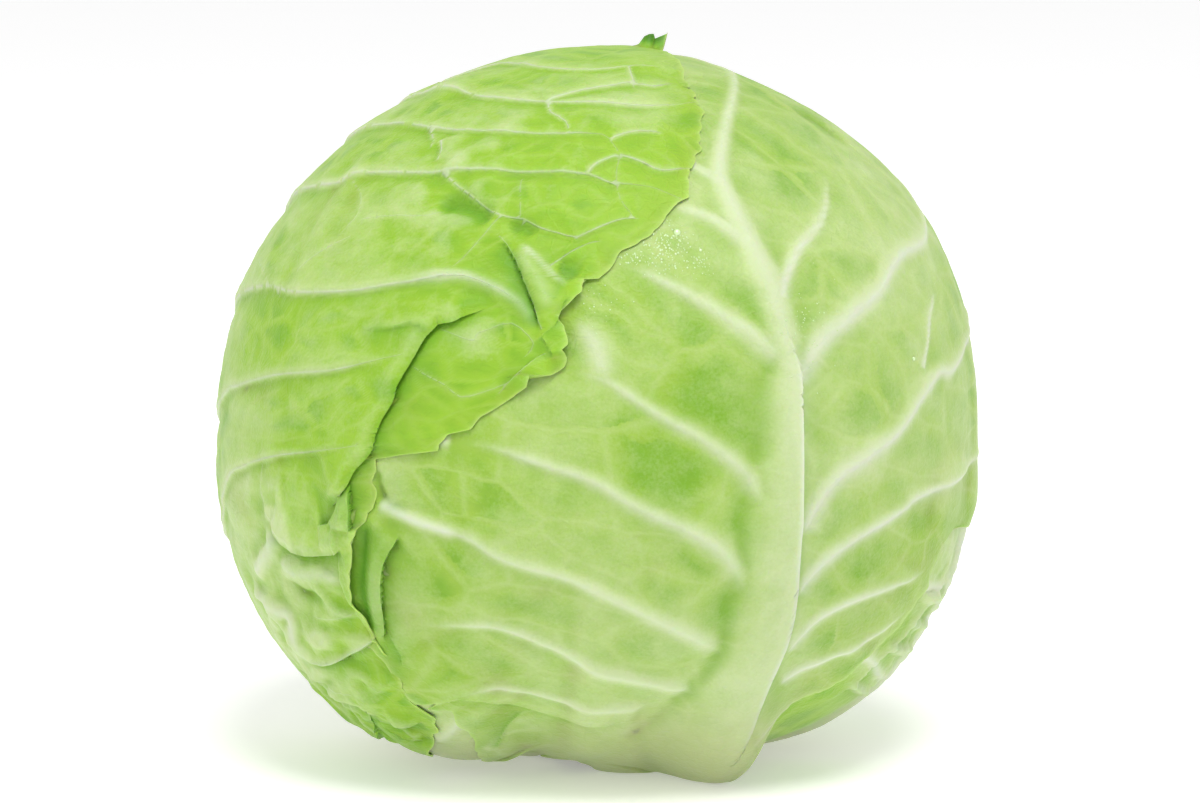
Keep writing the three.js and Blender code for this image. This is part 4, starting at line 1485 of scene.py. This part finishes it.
class CABBAGE_OT_stem(bpy.types.Operator):
    """Add the cut stem."""

    bl_idname = "cabbage.stem"
    bl_label = "Stem"

    def execute(self, context):
        sizes = Sizes(context.scene.cabbage_sizes)
        deselect_all()
        bpy.ops.mesh.primitive_cylinder_add(
            vertices=STEM_SIDES,
            radius=sizes.stem_radius * MM,
            depth=sizes.stem_height * MM,
            location=(0, 0, sizes.stem_height * MM / 2),
        )  # fmt: skip
        stem = context.object
        stem.name = stem.data.name = "cut_stem"
        bpy.ops.object.transform_apply(location=True, rotation=True, scale=True)
        bpy.ops.object.mode_set(mode="EDIT")
        bpy.ops.mesh.select_mode(type="FACE")
        for _ in range(STEM_RINGS):
            bpy.ops.object.mode_set(mode="OBJECT")
            for face in stem.data.polygons:
                face.select = abs(face.normal.z) > 0.9 and len(face.vertices) > 4
            bpy.ops.object.mode_set(mode="EDIT")
            bpy.ops.mesh.inset(thickness=sizes.stem_radius * MM / (STEM_RINGS + 1.5))
        # Without this first pass, subdividing cuts the side into levels but not round it too.
        bpy.ops.object.mode_set(mode="OBJECT")
        select_upright_edges(stem.data, 0.5 * sizes.stem_height * MM)
        for face in stem.data.polygons:
            face.select = abs(face.normal.z) < 0.5
        bpy.ops.object.mode_set(mode="EDIT")
        bpy.ops.mesh.select_mode(type="EDGE")
        bpy.ops.object.mode_set(mode="OBJECT")
        select_upright_edges(stem.data, 0.5 * sizes.stem_height * MM)
        bpy.ops.object.mode_set(mode="EDIT")
        bpy.ops.mesh.subdivide(number_cuts=STEM_LEVELS)
        bpy.ops.object.mode_set(mode="OBJECT")
        spots = read_points(stem.data) / MM
        radius = np.hypot(spots[:, 0], spots[:, 1])
        ring, height = radius / sizes.stem_radius, spots[:, 2].copy()
        level_spots = spots * (1, 1, 0) / np.maximum(radius, 1e-6)[:, None]
        outward = np.where(radius[:, None] > 0, level_spots, 0)
        side = smoothstep(0.9, 1.0, ring)
        swell = sizes.stem_flare * (height / sizes.stem_height) ** 2
        turn = np.arctan2(spots[:, 1], spots[:, 0])
        scars = 0 * height
        for k in range(SCARS):
            lon, level = (FRONT_LONGITUDE + GOLDEN_ANGLE * k - 90) * DEGREE, 3.5 + 1.5 * k
            off = np.abs((turn - lon + math.pi) % (2 * math.pi) - math.pi) / 0.6
            drop = (height - level + 1.2 * off**2) / 1.1
            scars += 0.9 * np.exp(-drop**2) * np.exp(-(off**4))
        crumple = rough(spots, 6, 9)
        bevel = 0.6 * np.exp(-height / 0.8)
        spots += outward * (side * (swell + scars + 0.5 * crumple - bevel))[:, None]
        flat = (height < 0.01) & (ring < 0.97)
        rings = 0.16 * np.sin(ring * 26) + 0.2 * rough(spots, 3, 2)
        spots[:, 2] += np.where(flat, np.maximum(rings + 0.25, 0.0), 0)
        write_points(stem.data, spots, {"ring": ring, "height": height})
        bpy.ops.object.shade_smooth_by_angle(angle=math.radians(50))
        dress(stem, stem_finish(context.scene.cabbage_looks), ["stem"])
        return {"FINISHED"}


WRAPS = 5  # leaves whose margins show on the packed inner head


class CABBAGE_OT_inner_head(bpy.types.Operator):
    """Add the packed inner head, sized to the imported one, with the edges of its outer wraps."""

    bl_idname = "cabbage.inner_head"
    bl_label = "Inner head"

    def execute(self, context):
        looks = context.scene.cabbage_looks
        deselect_all()
        bpy.ops.mesh.primitive_ico_sphere_add(subdivisions=6, radius=1)
        ball = context.object
        ball.name = ball.data.name = "packed_inner_head"
        directions = unit(read_points(ball.data))
        zero = np.zeros(len(directions))
        low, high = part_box("inner_head")
        half = (np.array(high) - np.array(low)) / 2 / MM
        middle = (np.array(high) + np.array(low)) / 2 / MM
        points = directions * MAP_RADIUS
        radius = 1 / np.sqrt(((directions / (half - 1.6)) ** 2).sum(axis=1))
        vein, rim = zero, zero + FAR_FROM_VEIN
        for k in range(WRAPS):
            outline = round_outline(8 + k, 0.8, 3 - k)
            outside = outline.outside(directions) * DEGREE * MAP_RADIUS
            cover = 1 - smoothstep(-0.6, 0.6, outside)
            radius += cover * 0.9 * np.exp(np.minimum(outside, 0) / 14)
            relief = Relief(points, grown_lines(outline, 90 + k, pairs=6, size=0.6))
            inside = outside < 0
            radius += np.where(inside, 0.4 * relief.ridge, 0)
            vein = np.where(inside, relief.vein, vein)
            rim = np.where(inside, -outside, rim)
        radius += 0.5 * rough(points, 24, 4)
        shaped = directions * radius[:, None] + middle
        shaped[:, 2] = smooth_max(shaped[:, 2], low[2] / MM, 2.0)
        layers = {
            "vein": vein, "halo": vein, "net": zero, "crease": zero, "rim": rim,
            "foot": zero + 0.5, "spacing": zero + 6, "cell": zero + 3, "rise": zero,
            "thin": zero + FAR_FROM_THIN, "tone": zero,
        }  # fmt: skip
        write_points(ball.data, shaped, layers)
        bpy.ops.object.shade_smooth()
        dress(ball, leaf_finish("inner_head_leaf", looks, 0.5), ["inner_head"])
        return {"FINISHED"}


def lay_leaf(context, name, material):
    """Builds one leaf on those already laid. They are laid in order, from the inside out."""
    leaves = CABBAGE_OT_under_leaves.leaves
    place = [leaf.name for leaf in leaves].index(name)
    if [leaf.name for leaf in Leaf.laid] != [leaf.name for leaf in leaves[:place]]:
        raise RuntimeError(f"{name} lies on leaves that aren't there yet")
    piece = leaves[place].build(leaves, Sizes(context.scene.cabbage_sizes))
    piece.name = piece.data.name = name + "_blade"
    dress(piece, material, [name])


class CABBAGE_OT_under_leaves(bpy.types.Operator):
    """Add the six leaves that lie under the cover leaves."""

    bl_idname = "cabbage.under_leaves"
    bl_label = "Under leaves"
    leaves = []  # every leaf, for the cover leaves' operators too

    def execute(self, context):
        self.leaves.extend(all_leaves())
        material = leaf_finish("under_leaf_skin", context.scene.cabbage_looks, 0.12)
        for leaf in self.leaves[:6]:
            lay_leaf(context, leaf.name, material)
        return {"FINISHED"}


class CoverLeaf:
    """What the cover leaves' operators share: each lays its leaf and gives it its own skin."""

    def execute(self, context):
        name, *finish = self.skin
        material = leaf_finish(name, context.scene.cabbage_looks, *finish)
        lay_leaf(context, self.leaf, material)
        return {"FINISHED"}


class CABBAGE_OT_back_cover_leaf(CoverLeaf, bpy.types.Operator):
    """Add the cover leaf at the back."""

    bl_idname = "cabbage.back_cover_leaf"
    bl_label = "Back cover leaf"
    leaf, leaf_slot, skin = "back_cover_leaf", "under_leaf", ("back_leaf_skin", 0.05)


class CABBAGE_OT_front_cover_leaf(CoverLeaf, bpy.types.Operator):
    """Add the front cover leaf, with the thick midrib."""

    bl_idname = "cabbage.front_cover_leaf"
    bl_label = "Front cover leaf"
    leaf, leaf_slot = "front_cover_leaf", "cover_leaf"
    skin = ("front_leaf_skin", 0.12, 0.24, ("front_leaf", "front_deep"), (1.6, 1, 3))


class CABBAGE_OT_left_cover_leaf(CoverLeaf, bpy.types.Operator):
    """Add the left cover leaf, whose folded margin crosses the front."""

    bl_idname = "cabbage.left_cover_leaf"
    bl_label = "Left cover leaf"
    leaf, leaf_slot, skin = "left_cover_leaf", "cover_leaf", ("left_leaf_skin", 0.06)


LARGE_DROPS = (19.7, 43.0, 0.95), (25.5, 38.5, 0.4), (78.5, 11.5, 0.6)  # x, height, radius
DEW_PATCHES = (  # middle x and height, spreads, number, size: millimetres
    (16.0, 39.5, 4.0, 3.2, 190, 0.21), (8.5, 37.0, 3.0, 1.2, 60, 0.19),
    (24.0, 36.5, 4.0, 2.5, 60, 0.17), (52.0, 17.0, 3.5, 5.0, 90, 0.17),
    (0.0, 24.0, 4.0, 3.0, 30, 0.16),
)  # fmt: skip


class CABBAGE_OT_dew(bpy.types.Operator):
    """Add the fine drops of dew on the front cover leaf."""

    bl_idname = "cabbage.dew"
    bl_label = "Dew"

    def execute(self, context):
        leaf = next(leaf for leaf in Leaf.laid if leaf.name == "front_cover_leaf")
        cover = Leaf.laid[-1].outline
        chance = np.random.default_rng(12)
        drops = list(LARGE_DROPS)
        for x, v, spread_x, spread_v, count, size in DEW_PATCHES:
            places = chance.normal(size=(count, 2)) * (spread_x, spread_v) + (x, v)
            drops += [(*place, size * (0.5 + chance.random() ** 2)) for place in places]
        deselect_all()
        bpy.ops.mesh.primitive_uv_sphere_add(segments=8, ring_count=6, radius=1)
        dew = context.object
        dew.name = dew.data.name = "dew_drops"
        bead = read_points(dew.data)
        bead[:, 2] = np.where(bead[:, 2] < 0, -0.12, 0.62) * np.abs(bead[:, 2])
        spots = []
        for x, v, size in drops:
            out = seen(x, v)
            if cover.outside(out[None])[0] < size:
                continue
            side = unit(np.cross(out, (0.1, 0.2, 1.0)))
            axes = np.stack((side, np.cross(out, side), out)) * size
            top = leaf.sample(out[None])[0]
            spots.append(bead @ axes + out * top + CENTRE)
        copies = dew.modifiers.new("copies", "ARRAY")
        copies.count = len(spots)
        bpy.ops.object.modifier_apply(modifier=copies.name)
        write_points(dew.data, np.concatenate(spots), {})
        bpy.ops.object.shade_smooth()
        dress(dew, dew_finish(), [])
        return {"FINISHED"}


FLOOR_SIZE = 24  # metres
LENS, SENSOR = 132, 36


class CABBAGE_OT_studio(bpy.types.Operator):
    """Add the floor, the lights and the camera."""

    bl_idname = "cabbage.studio"
    bl_label = "Studio"

    def execute(self, context):
        looks, scene = context.scene.cabbage_looks, context.scene
        deselect_all()
        bpy.ops.mesh.primitive_plane_add(size=FLOOR_SIZE)
        floor = context.object
        floor.name = "floor"
        floor.data.materials.append(floor_finish(looks))
        world = bpy.data.worlds.new("soft_room")
        scene.world = world
        world.use_nodes = True
        background = world.node_tree.nodes["Background"]
        background.inputs["Color"].default_value = (1, 1, 1, 1)
        background.inputs["Strength"].default_value = looks.sky
        target = Vector(CENTRE * MM)
        for name, place, size, power in (
            ("key_light", (0.2, -0.9, 1.75), 0.9, looks.key),
            ("left_fill", (-1.9, -1.3, 0.7), 1.4, looks.key * 0.26),
        ):
            light = bpy.data.lights.new(name, "AREA")
            light.shape, light.size, light.energy = "DISK", size, power
            lamp = bpy.data.objects.new(name, light)
            lamp.location = place
            lamp.rotation_euler = (target - Vector(place)).to_track_quat("-Z", "Y").to_euler()
            scene.collection.objects.link(lamp)
        camera = bpy.data.objects.new("camera", bpy.data.cameras.new("camera"))
        camera.data.lens, camera.data.sensor_width = LENS, SENSOR
        camera.data.clip_start, camera.data.clip_end = 0.01, 60
        camera.location = Vector(EYE * MM)
        camera.rotation_euler = (math.pi / 2 - VIEW_TILT, 0, 0)
        scene.collection.objects.link(camera)
        scene.camera = camera
        scene.view_settings.view_transform = "Standard"
        return {"FINISHED"}


class CABBAGE_PT_panel(bpy.types.Panel):
    """The cabbage's pieces, in the order that they are built."""

    bl_idname = "CABBAGE_PT_panel"
    bl_label = "Cabbage head"
    bl_space_type = "VIEW_3D"
    bl_region_type = "UI"
    bl_category = "Cabbage"

    def draw(self, context):
        for operator in OPERATORS:
            self.layout.operator(operator.bl_idname)
        for group in (context.scene.cabbage_sizes, context.scene.cabbage_looks):
            box = self.layout.box()
            for name in group.bl_rna.properties.keys():
                if name not in ("rna_type", "name"):
                    box.prop(group, name)


OPERATORS = (
    CABBAGE_OT_stem,
    CABBAGE_OT_inner_head,
    CABBAGE_OT_under_leaves,
    CABBAGE_OT_back_cover_leaf,
    CABBAGE_OT_front_cover_leaf,
    CABBAGE_OT_left_cover_leaf,
    CABBAGE_OT_dew,
    CABBAGE_OT_studio,
)
CLASSES = (CABBAGE_PG_sizes, CABBAGE_PG_looks, *OPERATORS, CABBAGE_PT_panel)


def register():
    for cls in CLASSES:
        bpy.utils.register_class(cls)
    bpy.types.Scene.cabbage_sizes = bpy.props.PointerProperty(type=CABBAGE_PG_sizes)
    bpy.types.Scene.cabbage_looks = bpy.props.PointerProperty(type=CABBAGE_PG_looks)


def unregister():
    del bpy.types.Scene.cabbage_looks, bpy.types.Scene.cabbage_sizes
    for cls in reversed(CLASSES):
        bpy.utils.unregister_class(cls)


def main():
    register()
    bpy.ops.cabbage.stem()
    bpy.ops.cabbage.inner_head()
    bpy.ops.cabbage.under_leaves()
    bpy.ops.cabbage.back_cover_leaf()
    bpy.ops.cabbage.front_cover_leaf()
    bpy.ops.cabbage.left_cover_leaf()
    bpy.ops.cabbage.dew()
    bpy.ops.cabbage.studio()


if __name__ == "__main__":
    main()
